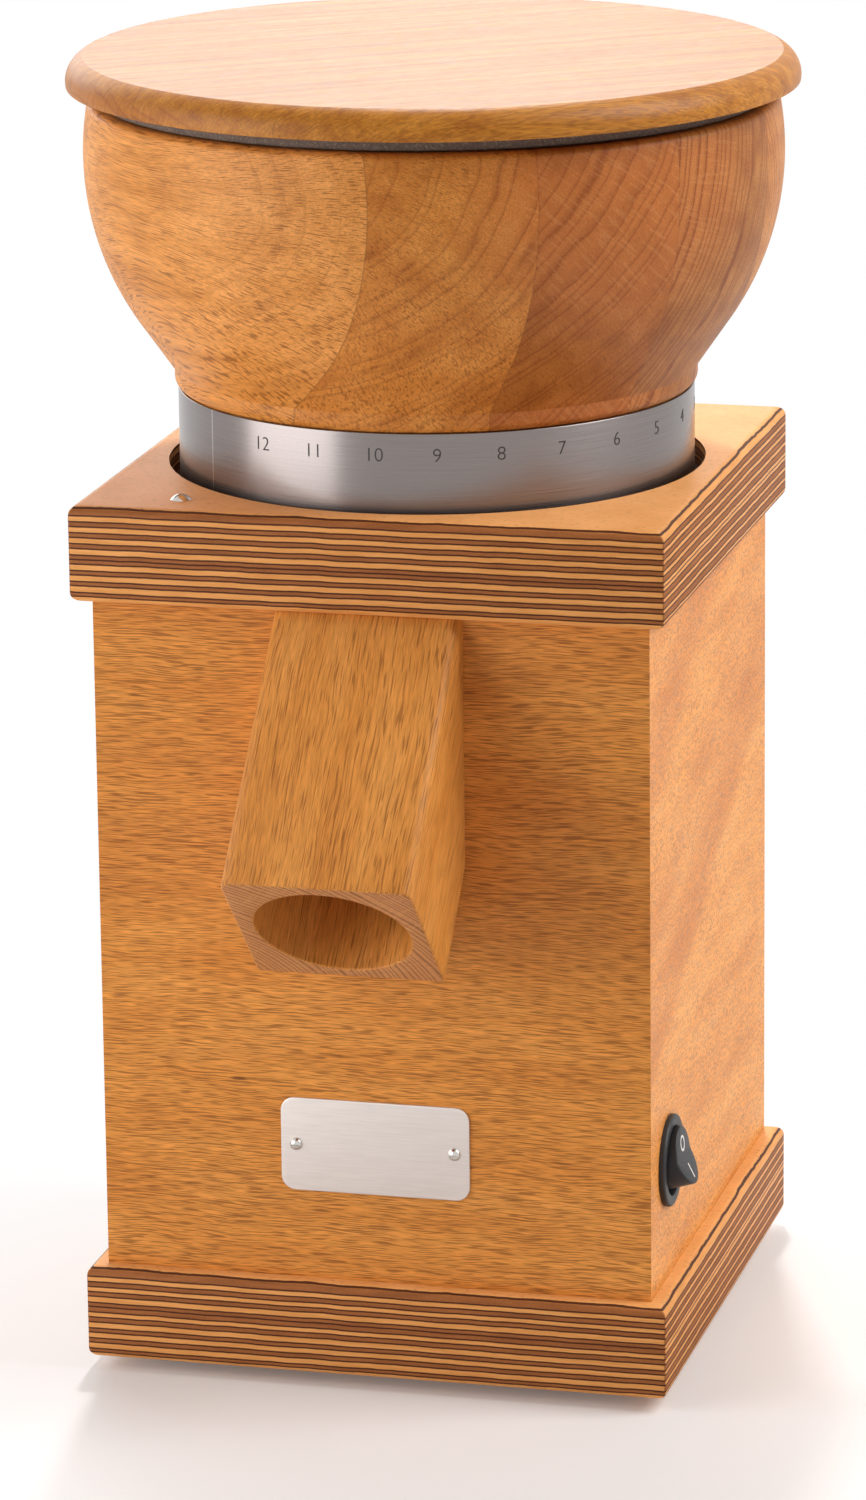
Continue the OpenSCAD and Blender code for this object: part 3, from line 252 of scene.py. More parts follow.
        # hairline of glue where two boards meet
        way = (cos(radians(look["jointTurn"])), sin(radians(look["jointTurn"])), 0)
        offset = add("VectorMath", {0: inPiece, 1: [part / mm for part in way]}, operation="DOT_PRODUCT")
        for joint in look["joints"]:
            near = add("Math", {0: offset, 1: joint + axis.dot(Vector(way)) / mm, 2: look["jointWidth"]},
                       operation="COMPARE")
            layers.append(("joint", add("Math", {0: near, 1: look["jointDepth"]}, operation="MULTIPLY")))
    for tone, share in layers:
        colour = add("Mix", {0: share, 6: colour, 7: linear(look[tone])}, data_type="RGBA")
    poreColour = add("CombineXYZ", {0: poreShade, 1: poreShade, 2: poreShade})
    colour = add("Mix", {0: 1.0, 6: colour, 7: poreColour}, data_type="RGBA", blend_type="MULTIPLY")
    relief = add("Math", {0: flecks, 1: -0.5, 2: pores}, operation="MULTIPLY_ADD")
    endTree(add, look, relief, Base_Color=colour, Roughness=rough, IOR=1.48,
            Specular_IOR_Level=look["shine"])
    return made


# beech plywood, sawn and oiled: thin veneers with the fibre turned at each, so a face shows them
# pale along the fibre and brown across it, with dark glue between
plyLook = {
    "top": 277.5, "thick": 30.0,  # mm, height of the upper face and thickness
    # mm from the top to each glue line, and 1 for each veneer that the front cuts across its fibre
    "glue": (0.5, 2.7, 4.65, 6.15, 8.0, 9.55, 11.45, 12.95, 14.9, 16.4, 17.8, 19.8, 21.2, 23.15, 24.6,
             26.65, 28.0),
    "across": (0, 1, 0, 1, 0, 1, 0, 1, 0, 1, 1, 0, 1, 0, 1, 0, 1, 0),
    # mm that the veneers wander, half of it to even that out, and waves in a mm
    "swell": 0.9, "lift": 0.45, "swellScale": 0.06,
    "side": "#E6A45E", "sideDeep": "#D28E48", "end": "#A26434", "endDeep": "#885026",
    "face": "#EEAE6C", "faceDeep": "#E2A05C",
    "streak": (16.0, 0.6, 0.5), "patch": (18.0, 18.0, 1.6),  # mm, along the fibre, across it and up
    "ray": "#6E360E", "raySize": (3.2, 0.95, 6.0), "rayDepth": 0.4,  # mm
    "line": 0.5, "glueTone": "#401806", "glueDepth": 0.95,
    "rough": (0.52, 0.65), "shine": 0.22, "relief": 0.4, "depth": 0.1,  # mm
}


def plywood(name, **changes):
    look = dict(plyLook, **changes)
    made, add = newMaterial(name)
    place = add("TexCoord")
    size = add("Mapping", {"Vector": place.outputs["Object"], "Scale": (mm, mm, mm),
                           "Location": (0, 0, look["top"] * mm)}, vector_type="TEXTURE")
    # the veneers swell and thin a little along the plate
    swell = add("TexNoise", {"Vector": size, "Scale": look["swellScale"], "Detail": 3.0, "Roughness": 0.6})
    height = add("Math", {0: swell, 1: look["swell"], 2: add("SeparateXYZ", {0: size}).outputs[2]},
                 operation="MULTIPLY_ADD")
    level, above, below = (
        add("Math", {0: height, 1: -1 / look["thick"], 2: (look["lift"] + shift) / look["thick"]},
            operation="MULTIPLY_ADD") for shift in (0.0, -look["line"] / 2, look["line"] / 2))
    # across tells how each veneer is turned; over and under tell odd veneers from even ones half a
    # glue line up and down, so they differ on the glue only
    shares = [0.0] + [g / look["thick"] for g in look["glue"]]
    odd = [i % 2 for i in range(len(shares))]
    across, over, under = (
        add("ValToRGB", {0: where}, [(s, grey(float(k))) for s, k in zip(shares, kinds)])
        for where, kinds in ((level, look["across"]), (above, odd), (below, odd)))
    for ramp in (across, over, under):
        ramp.color_ramp.interpolation = "CONSTANT"
    glued = add("Math", {0: over, 1: under}, operation="SUBTRACT")
    glue = add("Math", {0: glued}, operation="ABSOLUTE")

    # how squarely the face cuts each ply's fibre, which runs along x or along y
    normal = add("VectorMath", {0: place.outputs["Normal"]}, operation="ABSOLUTE")
    facing = add("SeparateXYZ", {0: normal}).outputs
    cut = add("Mix", {0: across, 2: facing[0], 3: facing[1]})
    ended = add("MapRange", {"Value": cut, "From Min": 0.25, "From Max": 0.8}, **soft)

    # streaks along each ply's fibre, broad patches and the ray flecks of the face veneer
    long, wide, deep = look["streak"]
    alongX, alongY, patchPlace, rayPlace = (
        add("VectorMath", {0: size, 1: [1 / s for s in sizes]}, operation="MULTIPLY")
        for sizes in ((long, wide, deep), (wide, long, deep), look["patch"], look["raySize"]))
    along = add("Mix", {0: across, 4: alongX, 5: alongY}, data_type="VECTOR")
    streak = add("TexNoise", {"Vector": along, "Scale": 1.0, "Detail": 3.0, "Roughness": 0.6})
    patch = add("TexNoise", {"Vector": patchPlace, "Scale": 1.0, "Detail": 2.0})
    tone = add("Math", {0: streak, 1: 0.5, 2: patch}, operation="MULTIPLY_ADD")
    share = add("MapRange", {"Value": tone, "From Min": 0.52, "From Max": 0.98})
    side, end, face = (
        add("Mix", {0: share, 6: linear(look[k + "Deep"]), 7: linear(look[k])}, data_type="RGBA")
        for k in ("side", "end", "face"))
    upward = add("MapRange", {"Value": facing[2], "From Min": 0.7, "From Max": 0.95})
    side = add("Mix", {0: upward, 6: side, 7: face}, data_type="RGBA")
    colour = add("Mix", {0: ended, 6: side, 7: end}, data_type="RGBA")
    rays = add("TexVoronoi", {"Vector": rayPlace, "Scale": 1.0})
    fleck = add("MapRange", {"Value": rays, "From Min": 0.1, "From Max": 0.3, "To Min": look["rayDepth"],
                             "To Max": 0.0}, **soft)
    flecked = add("Math", {0: fleck, 1: upward}, operation="MULTIPLY")
    glueMix = add("Math", {0: glue, 1: look["glueDepth"]}, operation="MULTIPLY")
    for tone, share in (("ray", flecked), ("glueTone", glueMix)):
        colour = add("Mix", {0: share, 6: colour, 7: linear(look[tone])}, data_type="RGBA")
    rough = add("MapRange", {"Value": ended, "To Min": look["rough"][0], "To Max": look["rough"][1]})
    sunk = add("Math", {0: glue, 1: -1.5, 2: streak}, operation="MULTIPLY_ADD")
    endTree(add, look, sunk, Base_Color=colour, Roughness=rough, IOR=1.48,
            Specular_IOR_Level=look["shine"])
    return made


# metals, plastics and the like share one recipe: a tone that drifts, a roughness that drifts
# with it and a fine relief, with grit and depth in mm
surfaceLook = {
    "tone": "#808080", "toneDeep": "#707070", "grit": (1.0, 1.0, 1.0), "grain": 0.5, "detail": 3.0,
    "rough": (0.35, 0.5), "metallic": 0.0, "relief": 0.2, "depth": 0.05, "speck": None, "speckDepth": 0.7,
}


def surface(name, **changes):
    look = dict(surfaceLook, **changes)
    made, add = newMaterial(name)
    scaled = add("Mapping", {"Vector": add("TexCoord").outputs["Object"],
                             "Scale": [g * mm for g in look["grit"]]}, vector_type="TEXTURE")
    noise = add("TexNoise", {"Vector": scaled, "Scale": 1.0, "Detail": look["detail"],
                             "Roughness": look["grain"]})
    colour, rough = driftTones(add, look, noise)
    if look["speck"]:
        # scattered grains of a second tone
        grains = add("TexVoronoi", {"Vector": scaled, "Scale": 1.0})
        speck = add("MapRange", {"Value": grains, "From Min": 0.2, "From Max": 0.4,
                                 "To Min": look["speckDepth"], "To Max": 0.0})
        colour = add("Mix", {0: speck, 6: colour, 7: linear(look["speck"])}, data_type="RGBA")
    endTree(add, look, noise, Base_Color=colour, Roughness=rough, Metallic=look["metallic"])
    return made


# stainless steel sheet brushed round the hopper's axis: the fine lines draw the lamps out upright
ringSteelLook = {
    "tone": "#8F8785", "toneDeep": "#7F7774", "radius": 80.4, "rough": (0.25, 0.35),
    "brush": (40.0, 0.15),  # mm, length and spacing of the lines, coarser than real ones so that they show
    "seam": -44.5, "seamWidth": 0.2, "seamTone": "#E4E0DE", "seamDepth": 0.5,  # degrees from the front, mm
    "stretch": 0.7, "across": 0.25,  # how far the shine is drawn out, and the part of a turn that lays it
    "relief": 0.12, "depth": 0.02,  # mm
}


def ringSteel(name, look):
    made, add = newMaterial(name)
    centred = add("Mapping", {"Vector": add("TexCoord").outputs["Object"], "Location": axis,
                              "Scale": (mm, mm, mm)}, vector_type="TEXTURE")
    across, behind, height = add("SeparateXYZ", {0: centred}).outputs
    ahead = add("Math", {0: behind, 1: -1.0}, operation="MULTIPLY")
    angle = add("Math", {0: across, 1: ahead}, operation="ARCTAN2")
    around = add("Math", {0: angle, 1: look["radius"]}, operation="MULTIPLY")
    longLine, fineLine = (add("Math", {0: where, 1: 1 / size}, operation="MULTIPLY")
                          for where, size in zip((around, height), look["brush"]))
    brush = add("TexNoise", {"Vector": add("CombineXYZ", {0: longLine, 2: fineLine}), "Scale": 1.0,
                             "Detail": 3.0, "Roughness": 0.65})
    colour, rough = driftTones(add, look, brush)
    # the butt joint of the sheet
    near = add("Math", {0: around, 1: look["radius"] * radians(look["seam"]), 2: look["seamWidth"]},
               operation="COMPARE")
    seam = add("Math", {0: near, 1: look["seamDepth"]}, operation="MULTIPLY")
    colour = add("Mix", {0: seam, 6: colour, 7: linear(look["seamTone"])}, data_type="RGBA")
    tangent = add("Tangent", direction_type="RADIAL", axis="Z")
    endTree(add, look, brush, Base_Color=colour, Roughness=rough, Tangent=tangent, Metallic=1.0,
            Anisotropic=look["stretch"], Anisotropic_Rotation=look["across"])
    return made


# the finishes; each comment says what it gives the eye
# golden veneer, close fine dashes along it and a few darker bands; one small dark knot
frontBeech = beech("planedBeechFront", centre=(0, -66, 140), reach=240, ringGap=26.0, ringDepth=0.1,
                   raySize=(7.0, 2.4, 0.26), rayCut=(0.48, 0.66), crowd=0.85,
                   bandDepth=0.35, bandTilt=0.09, bandGap=70.0, band="#BE7430",
                   tones=("#E49C4A", "#DE9442", "#D68A3A"),
                   knots=(((-43.3, -66.5, 97.3), 8.5, 1.5),))
# the same veneer with painted light: its tones are set paler than the front's to stand for the lamp at the
# right, with short flecks and soft slanting bands
paintedLitSideBeech = beech("planedBeechSidePaintedLit", centre=(86, 20, 140), reach=240, turn=90, ringGap=26.0, ringDepth=0.08,
                  bandDepth=0.35, bandTilt=-0.5, bandGap=70.0, rayDepth=0.36, raySize=(1.4, 2.4, 0.7),
                  tones=("#F0A85A", "#E89C4C", "#DC8E40"))
# plainer veneers for the far side and the back, fibre level
leftBeech = beech("planedBeechLeft", centre=(-86, 20, 140), reach=240, turn=90, ringGap=26.0, ringDepth=0.1,
                  bandDepth=0.4, bandTilt=0.3, bandGap=80.0, rayDepth=0.45)
backBeech = beech("planedBeechBack", centre=(0, 107, 140), reach=240, ringGap=26.0, ringDepth=0.1,
                  bandDepth=0.4, bandTilt=-0.12, bandGap=75.0)
# inner blocks with upright fibre, left as sawn
blockBeech = beech("sawnBeechBlock", centre=(0, 0, 100), lean=90, reach=60)
# browner solid beech with long thin flecks down the spout and tight slanting rings on its end
spoutBeech = beech("planedBeechSpout", centre=(0, -95, 190), turn=-90, lean=46.4, roll=40, reach=90,
                   ring="#6A3614", ringGap=1.8, ringDepth=0.12, endRing=1.0, endGround="#B98052",
                   endDepth=0.8, raySize=(10.0, 0.9, 0.26), rayDepth=0.62, rayCut=(0.56, 0.7),
                   tones=("#DA964A", "#D28C40", "#C88238"))
# striped edges: pale and brown plies between near-black glue lines, under a pale golden face
topPly = plywood("beechPlywoodTop")
basePly = plywood(
    "beechPlywoodBase", top=34.0, across=(0, 1, 0, 1, 0, 1, 0, 1, 1, 0, 1, 0, 1, 0, 1, 0, 1, 0),
    glue=(0.55, 2.95, 4.8, 6.4, 8.05, 9.6, 11.5, 13.0, 14.7, 16.4, 18.0, 20.0, 21.4, 23.3, 24.75, 26.75,
          28.1))
# dull grey-brown wool with paler hairs in it, no gloss at all
feltGrey = surface("woolFelt", tone="#84766C", toneDeep="#5A4F49", grit=(0.9, 0.9, 0.9), grain=0.75,
                   detail=5.0, rough=(0.9, 1.0), relief=0.9, depth=0.6, speck="#95897C")
# grey sheet with level brush lines that pull each lamp out into an upright band
steel = ringSteel("brushedStainless", ringSteelLook)
# hidden screws, a little yellow and dull
screwSteel = surface("zincPlatedSteel", tone="#B8B6AE", toneDeep="#96948C", grit=(2, 2, 2),
                     rough=(0.3, 0.45), metallic=1.0)
# small domed heads that mirror the room sharply
brightSteel = surface("polishedStainless", tone="#D8D4CE", toneDeep="#C4C0BA", grit=(3, 3, 3),
                      rough=(0.12, 0.2), metallic=1.0, relief=0.05)
# pale plate with a broad blurred shine and a soft level brushing, coarser than it is so that it shows
nameMetal = surface("satinAluminium", tone="#DCD2CC", toneDeep="#D2C9C3", grit=(9, 0.5, 0.35),
                    rough=(0.34, 0.46), metallic=0.8, relief=0.1, depth=0.02)
# grainy matt grey casting
castMetal = surface("castAluminium", tone="#B4B4B2", toneDeep="#989896", grit=(1.2, 1.2, 1.2), grain=0.7,
                    rough=(0.5, 0.65), metallic=1.0, relief=0.5, depth=0.1)
# dark stack of sheets, each edge just showing
coreMetal = surface("laminatedCore", tone="#6A6A6C", toneDeep="#48484A", grit=(30, 30, 0.5),
                    rough=(0.45, 0.6), metallic=1.0, relief=0.4, depth=0.1)
# wound wire, reddish and glossy, with painted shade: darker streaks across the turns stand for the gaps
# between them
copper = surface("enamelledCopper", tone="#B0622E", toneDeep="#7C3F1C", grit=(6, 6, 0.6),
                 rough=(0.25, 0.4), metallic=1.0, relief=0.8, depth=0.3)
# chalky pale stone full of grey grit
stone = surface("corundumStone", tone="#DDD8CE", toneDeep="#BDB6A8", grit=(1.1, 1.1, 1.1), grain=0.7,
                rough=(0.85, 0.95), relief=0.8, depth=0.3, speck="#8C8478")
# milky white with a soft sheen
whitePlastic = surface("whiteNylon", tone="#E6E4DC", toneDeep="#DAD8D0", grit=(5, 5, 5), rough=(0.4, 0.5))
# near-black, its edges greyed by a moulded grain that is coarser than the real one so that it shows
blackPlastic = surface("blackPolyamide", tone="#151213", toneDeep="#0E0B0C", grit=(0.7, 0.7, 0.7),
                       rough=(0.42, 0.55), relief=0.25, depth=0.03)
# brown-black and dull
rubber = surface("darkRubber", tone="#3A2A20", toneDeep="#2A1E17", rough=(0.6, 0.75), relief=0.4)
# warm yellow metal tabs
contact = surface("brassContact", tone="#C9A24C", toneDeep="#A98438", grit=(2, 2, 2), rough=(0.3, 0.45),
                  metallic=1.0)
# plain blue insulation with a plastic shine
wirePlastic = surface("wireSleeve", tone="#3E6FA8", toneDeep="#345F94", grit=(3, 3, 3))
# off-white marks, slightly worn
marking = surface("whitePrint", tone="#E4E2DE", toneDeep="#D6D4D0", grit=(0.5, 0.5, 0.5), rough=(0.5, 0.6))
# charcoal figures, matt against the steel
scalePrint = surface("darkEtching", tone="#2E2A2B", toneDeep="#221F20", grit=(0.5, 0.5, 0.5),
                     rough=(0.5, 0.65))
finishes = {
    "plywood": topPly, "beech_panel": frontBeech, "beech_bowl": spoutBeech, "beech_lid": frontBeech,
    "beech_block": blockBeech, "felt": feltGrey, "ring_steel": steel, "screw_steel": screwSteel,
    "bright_screw": brightSteel, "name_metal": nameMetal, "cast_aluminium": castMetal,
    "core_steel": coreMetal, "winding": copper, "stone": stone, "white_plastic": whitePlastic,
    "black_plastic": blackPlastic, "black_rubber": rubber, "contact_metal": contact,
    "wire_plastic": wirePlastic,
}
named = {"bottom_plate": basePly, "right_panel": paintedLitSideBeech, "left_panel": leftBeech,
         "back_panel": backBeech}
for name, node in nodes.items():
    for held in node.material_slots:
        held.material = named.get(name) or finishes[held.material.name]
print("finishes ready")


# modelling helpers
def selectOnly(*pieces):
    bpy.ops.object.select_all(action="DESELECT")
    for piece in pieces:
        piece.select_set(True)
    bpy.context.view_layer.objects.active = pieces[0]


def startPiece(add, name, **settings):
    # adds a primitive with nothing else selected and opens it in edit mode
    bpy.ops.object.select_all(action="DESELECT")
    add(**settings)
    piece = bpy.context.object
    piece.name = piece.data.name = name
    bpy.ops.object.mode_set(mode="EDIT")
    bpy.ops.mesh.select_all(action="SELECT")
    return piece


def middle(part):
    return sum((v.co for v in part.verts), Vector()) / len(part.verts)


def meets(one, other):
    return abs(one - other) < hair


def roundEdges(piece, radius, steps, test):
    # rounds over the edges of the open piece that pass the test, radius in mm
    mesh = bmesh.from_edit_mesh(piece.data)
    for part in (*mesh.faces, *mesh.edges, *mesh.verts):
        part.select = False
    for edge in mesh.edges:
        if test(edge):
            edge.select_set(True)
    bmesh.update_edit_mesh(piece.data)
    bpy.ops.mesh.bevel(offset=radius * mm, segments=steps)


def useModifier(piece, kind, **settings):
    selectOnly(piece)
    added = piece.modifiers.new(kind.lower(), kind)
    for name, value in settings.items():
        setattr(added, name, value)
    bpy.ops.object.modifier_apply(modifier=added.name)


def cutAway(piece, cutter):
    useModifier(piece, "BOOLEAN", object=cutter, operation="DIFFERENCE", solver="EXACT")
    bpy.data.objects.remove(cutter)


def drill(piece, steps, radius, depth, place):
    # cuts an upright round hole with its middle at the place, metres
    bpy.ops.object.select_all(action="DESELECT")
    bpy.ops.mesh.primitive_cylinder_add(vertices=steps, radius=radius, depth=depth, location=place)
    cutAway(piece, bpy.context.object)


def bakePlace(piece):
    # puts the piece's place into its mesh
    if bpy.context.mode != "OBJECT":
        bpy.ops.object.mode_set(mode="OBJECT")
    selectOnly(piece)
    bpy.ops.object.transform_apply(location=True, rotation=True, scale=True)


def finishPiece(piece, body, materials, stands=(), sharp=32):
    # ties the piece to its body, its finish and the nodes that it stands for
    bakePlace(piece)
    bpy.ops.object.shade_smooth_by_angle(angle=radians(sharp))
    for material in materials:
        piece.data.materials.append(material)
    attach(piece, body)
    if stands:
        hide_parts(*stands)


def arc(x, z, radius, start, end, steps):
    # points of an outline on an arc, in mm and degrees
    return [(x + radius * cos(radians(start + (end - start) * i / steps)),
             z + radius * sin(radians(start + (end - start) * i / steps))) for i in range(steps + 1)]


def strip(look):
    # closed outline of a standing strip with its four edges rounded
    r = look["round"]
    corners = ((look["outer"] - r, look["bottom"] + r, -90), (look["outer"] - r, look["top"] - r, 0),
               (look["inner"] + r, look["top"] - r, 90), (look["inner"] + r, look["bottom"] + r, 180))
    outline = [point for x, z, start in corners for point in arc(x, z, r, start, start + 90, 4)]
    return outline + outline[:1]


def turnPiece(name, outline, steps=192):
    # draws an outline of (radius, height) in mm point by point and spins it round z
    x, z = outline[0]
    piece = startPiece(bpy.ops.mesh.primitive_plane_add, name, size=mm)
    bpy.ops.mesh.merge(type="CENTER")
    bpy.ops.transform.translate(value=(x * mm, 0, z * mm))
    for (x, z), (nextX, nextZ) in zip(outline, outline[1:]):
        bpy.ops.mesh.extrude_vertices_move(
            TRANSFORM_OT_translate={"value": ((nextX - x) * mm, 0, (nextZ - z) * mm)})
    bpy.ops.mesh.select_all(action="SELECT")
    bpy.ops.mesh.remove_doubles(threshold=hair)
    bpy.ops.mesh.spin(steps=steps, angle=2 * pi, center=(0, 0, 0), axis=(0, 0, 1))
    bpy.ops.mesh.select_all(action="SELECT")
    bpy.ops.mesh.remove_doubles(threshold=hair)
    bpy.ops.mesh.normals_make_consistent(inside=False)
    return piece


def splitBoards(piece, look):
    # cuts the turned blank along its glue joints, so that each board gets its own finish
    across = Vector((cos(radians(look["jointTurn"])), sin(radians(look["jointTurn"])), 0))
    for joint in look["joints"]:
        bpy.ops.mesh.select_all(action="SELECT")
        bpy.ops.mesh.bisect(plane_co=across * joint * mm + axis, plane_no=across)
    mesh = bmesh.from_edit_mesh(piece.data)
    for face in mesh.faces:
        face.material_index = sum(middle(face).dot(across) > joint * mm for joint in look["joints"])
    bmesh.update_edit_mesh(piece.data)


def boardFinishes(name, look):
    # a beech for each board of the blank, with the glue joints that it meets
    shared = dict(look["grain"], turn=look["jointTurn"] - 90, jointTurn=look["jointTurn"])
    return [beech(f"{name}{i + 1}", joints=look["joints"][max(0, i - 1):i + 1], **dict(shared, **board))
            for i, board in enumerate(look["boards"])]


def makeText(words, size, thick, spread):
    # raised letters or figures as a mesh, mm; spread fattens their strokes
    bpy.ops.object.select_all(action="DESELECT")
    bpy.ops.object.text_add()
    text = bpy.context.object.data
    text.body, text.size = words, size * mm
    text.align_x, text.align_y = "CENTER", "CENTER"
    text.extrude, text.offset = thick * mm, spread * mm
    bpy.ops.object.convert(target="MESH")
    return bpy.context.object


# the hopper's bowl, turned from a blank of five boards glued edge to edge
bowlLook = {
    # radii and heights in mm, from the spigot in the ring up the outside, over the rim and down the inside
    "throat": 17.0, "spigot": 79.4, "base": 286.0, "neck": 81.4, "ringTop": 301.5, "cove": 3.0,
    "neckTop": 308.0, "neckRound": 1.2, "neckDrop": 0.9, "flare": (91.263, 321.598),
    "curve": (18.884, 374.1, 89.416), "outside": (-35.95, 9.0), "inside": (11.6, -79.4), "wall": 12.0,
    "rim": 391.0, "rimRadius": 104.633, "rimRound": 2.5, "mouth": 94.433, "lip": 1.2,
    "floor": 298.0, "chamfer": 1.0,
    "joints": (-72.9, -28.5, 20.0, 66.0), "jointTurn": 46.0,  # mm from the axis, degrees
    "grain": {"rayCut": (0.53, 0.68), "raySize": (6.0, 1.6, 0.28)},
    # the boards from the left, each cut at its own place in the tree
    "boards": (
        {"centre": (-60, -40, 340), "roll": -30, "reach": 70, "ringGap": 7.0, "ringDepth": 0.2,
         "raySize": (11.0, 2.4, 0.28), "tones": ("#E29C52", "#D89248", "#CA843A")},
        {"centre": (-35, -20, 345), "roll": -42, "reach": 90, "ringGap": 6.0, "ringDepth": 0.4,
         "ringSway": 1.2, "rayDepth": 0.55, "tones": ("#D48E42", "#C88036", "#B8702A")},
        {"centre": (0, 20, 345), "roll": -42, "reach": 220, "ringGap": 4.6, "ringDepth": 0.7, "sway": 3.0,
         "rayDepth": 0.4, "tones": ("#B87438", "#AA6628", "#98581E"),
         "knots": (((32.4, -72.2, 332.6), 3.5, 2.2),)},
        {"centre": (30, 50, 345), "roll": -20, "reach": 220, "ringGap": 2.9, "ringDepth": 0.9,
         "endRing": 0.95, "ringSway": 0.8, "sway": 3.0, "rayDepth": 0.3,
         "tones": ("#B87C40", "#AA6E34", "#985C28")},
        {"centre": (60, 80, 345), "roll": -4, "reach": 120, "ringGap": 2.0, "ringDepth": 0.8,
         "endRing": 0.9, "ringSway": 0.8, "sway": 3.0, "rayDepth": 0.3,
         "tones": ("#D2904A", "#C4803E", "#B26E30")},
    ),
}


def makeBowl(look):
    x, z, radius = look["curve"]
    throat, base, cove, lip = look["throat"], look["base"], look["cove"], look["lip"]
    outline = [(throat, base), (look["spigot"], base), (look["spigot"], look["ringTop"])]
    outline += arc(look["neck"] - cove, look["ringTop"] + cove, cove, -90, 0, 6)
    outline += arc(look["neck"] + look["neckRound"], look["neckTop"] - look["neckDrop"], look["neckRound"],
                   180, 150, 3)
    outline += [look["flare"]] + arc(x, z, radius, *look["outside"], 40)[1:]
    outline += arc(look["rimRadius"], look["rim"] - look["rimRound"], look["rimRound"], 15, 90, 6)
    outline += arc(look["mouth"] + lip, look["rim"] - lip, lip, 90, 165, 4)
    outline += arc(x, z, radius - look["wall"], *look["inside"], 40)
    outline += [(throat + look["chamfer"], look["floor"]), (throat, look["floor"] - look["chamfer"]),
                (throat, base)]
    piece = turnPiece("hopperBowl", outline)
    piece.location = axis
    splitBoards(piece, look)
    finishPiece(piece, "hopper", boardFinishes("turnedBeechBowl", look), ["hopper_bowl"])


makeBowl(bowlLook)
print("bowl turned")

# the lid, turned from boards of its own, with a locating step under it
lidLook = {
    "step": 91.933, "under": 384.6, "stepRound": 1.0, "bottom": 395.6, "top": 404.9, "radius": 113.29,
    "chamfer": 1.0, "edge": (0.35, 0.25),  # mm in from the rim, and up from the lower face
    "round": 8.0, "drop": 7.61, "sweep": (-10, 72),  # the rim's curve, its middle under the top, degrees
    "joints": (-77.7, -29.8, 18.0, 66.0), "jointTurn": 126.3,  # mm from the axis, degrees
    "grain": {"roll": 90, "ringDepth": 0.12, "ringGap": 12.0, "cloud": (90, 3.5, 3.5), "sway": 3.0,
              "rayDepth": 0.4, "endFrom": 0.7, "endGround": "#A2601E", "endDepth": 0.7,
              "rough": 0.4, "shine": 0.26, "tones": ("#C68634", "#B67626", "#A4641E")},
    "boards": ({"centre": (0, 0, 400), "reach": 90}, {"centre": (20, 30, 400), "reach": 120},
               {"centre": (40, 60, 400), "reach": 70}, {"centre": (60, 90, 400), "reach": 110},
               {"centre": (80, 120, 400), "reach": 80}),
}


def makeLid(look):
    step, under, r, bottom = look["step"], look["under"], look["stepRound"], look["bottom"]
    outline = [(0, under), (step - r, under)] + arc(step - r, under + r, r, -80, 0, 4) + [(step, bottom)]
    outline += [(look["radius"] - look["chamfer"], bottom),
                (look["radius"] - look["edge"][0], bottom + look["edge"][1])]
    outline += arc(look["radius"] - look["round"], look["top"] - look["drop"], look["round"],
                   *look["sweep"], 14) + [(0, look["top"])]
    piece = turnPiece("hopperLid", outline)
    piece.location = axis
    splitBoards(piece, look)
    finishPiece(piece, "lid", boardFinishes("turnedBeechLid", look), ["lid"], sharp=12)


makeLid(lidLook)
print("lid turned")

# the felt ring glued under the lid, its edges fuzzed and slightly uneven
feltLook = {
    "inner": 94.93, "outer": 103.93, "bottom": 391.3, "top": 395.6, "round": 1.3,
    "fuzzSize": 1.6, "fuzz": 0.3, "fuzzLevel": 0.8,  # mm, mm, share of the fuzz that sinks in
}


def makeFelt(look):
    piece = turnPiece("feltSeal", strip(look), steps=360)
    piece.location = axis
    bakePlace(piece)
    fuzz = bpy.data.textures.new("feltFuzz", "CLOUDS")
    fuzz.noise_scale = look["fuzzSize"] * mm
    useModifier(piece, "DISPLACE", texture=fuzz, strength=look["fuzz"] * mm, mid_level=look["fuzzLevel"],
                texture_coords="LOCAL")
    finishPiece(piece, "lid", [feltGrey], ["lid_seal"], sharp=60)


makeFelt(feltLook)

# the setting ring, a bent strip of sheet with its edges broken
ringLook = {"inner": 79.4, "outer": 80.4, "bottom": 270.3, "top": 301.5, "round": 0.3}


def makeRing(look):
    piece = turnPiece("settingRing", strip(look), steps=256)
    piece.location = axis
    finishPiece(piece, "hopper", [steel], ["setting_ring"])


makeRing(ringLook)

# the scale on the ring, finest at 1
scaleLook = {
    # degrees round from the front for each number
    "turns": {12: -27.1, 11: -13.5, 10: 0.5, 9: 14.2, 8: 28.2, 7: 42.2, 6: 57.0, 5: 70.9, 4: 84.2, 3: 98.0,
              2: 112.0, 1: 126.0},
    "height": 294.7, "size": 6.1, "radius": 80.42, "thick": 0.06, "spread": -0.09,  # mm
}


def makeScale(look):
    made = []
    for number, degrees in look["turns"].items():
        turn = radians(degrees)
        figure = makeText(str(number), look["size"], look["thick"], look["spread"])
        figure.rotation_euler = (pi / 2, 0, turn)
        figure.location = axis + Vector((sin(turn) * look["radius"] * mm, -cos(turn) * look["radius"] * mm,
                                         look["height"] * mm))
        bakePlace(figure)
        made.append(figure)
    selectOnly(*made)
    bpy.ops.object.join()
    piece = bpy.context.object
    piece.name = piece.data.name = "ringScale"
    finishPiece(piece, "hopper", [scalePrint])


makeScale(scaleLook)
print("setting ring ready")

# the housing's two plates, their long edges rounded over and the corners just broken
topPlateLook = {
    "centre": (0, 20.344, 262.5), "size": (185.0, 185.0, 30.0), "edge": 3.0, "corner": 0.7,
    "bores": ((0, 20.344, 83.8, 8.0), (0, 20.344, 59.5, 40.0)),  # place, radius, depth from above
}
basePlateLook = dict(topPlateLook, centre=(0, 20.344, 19.0), bores=())


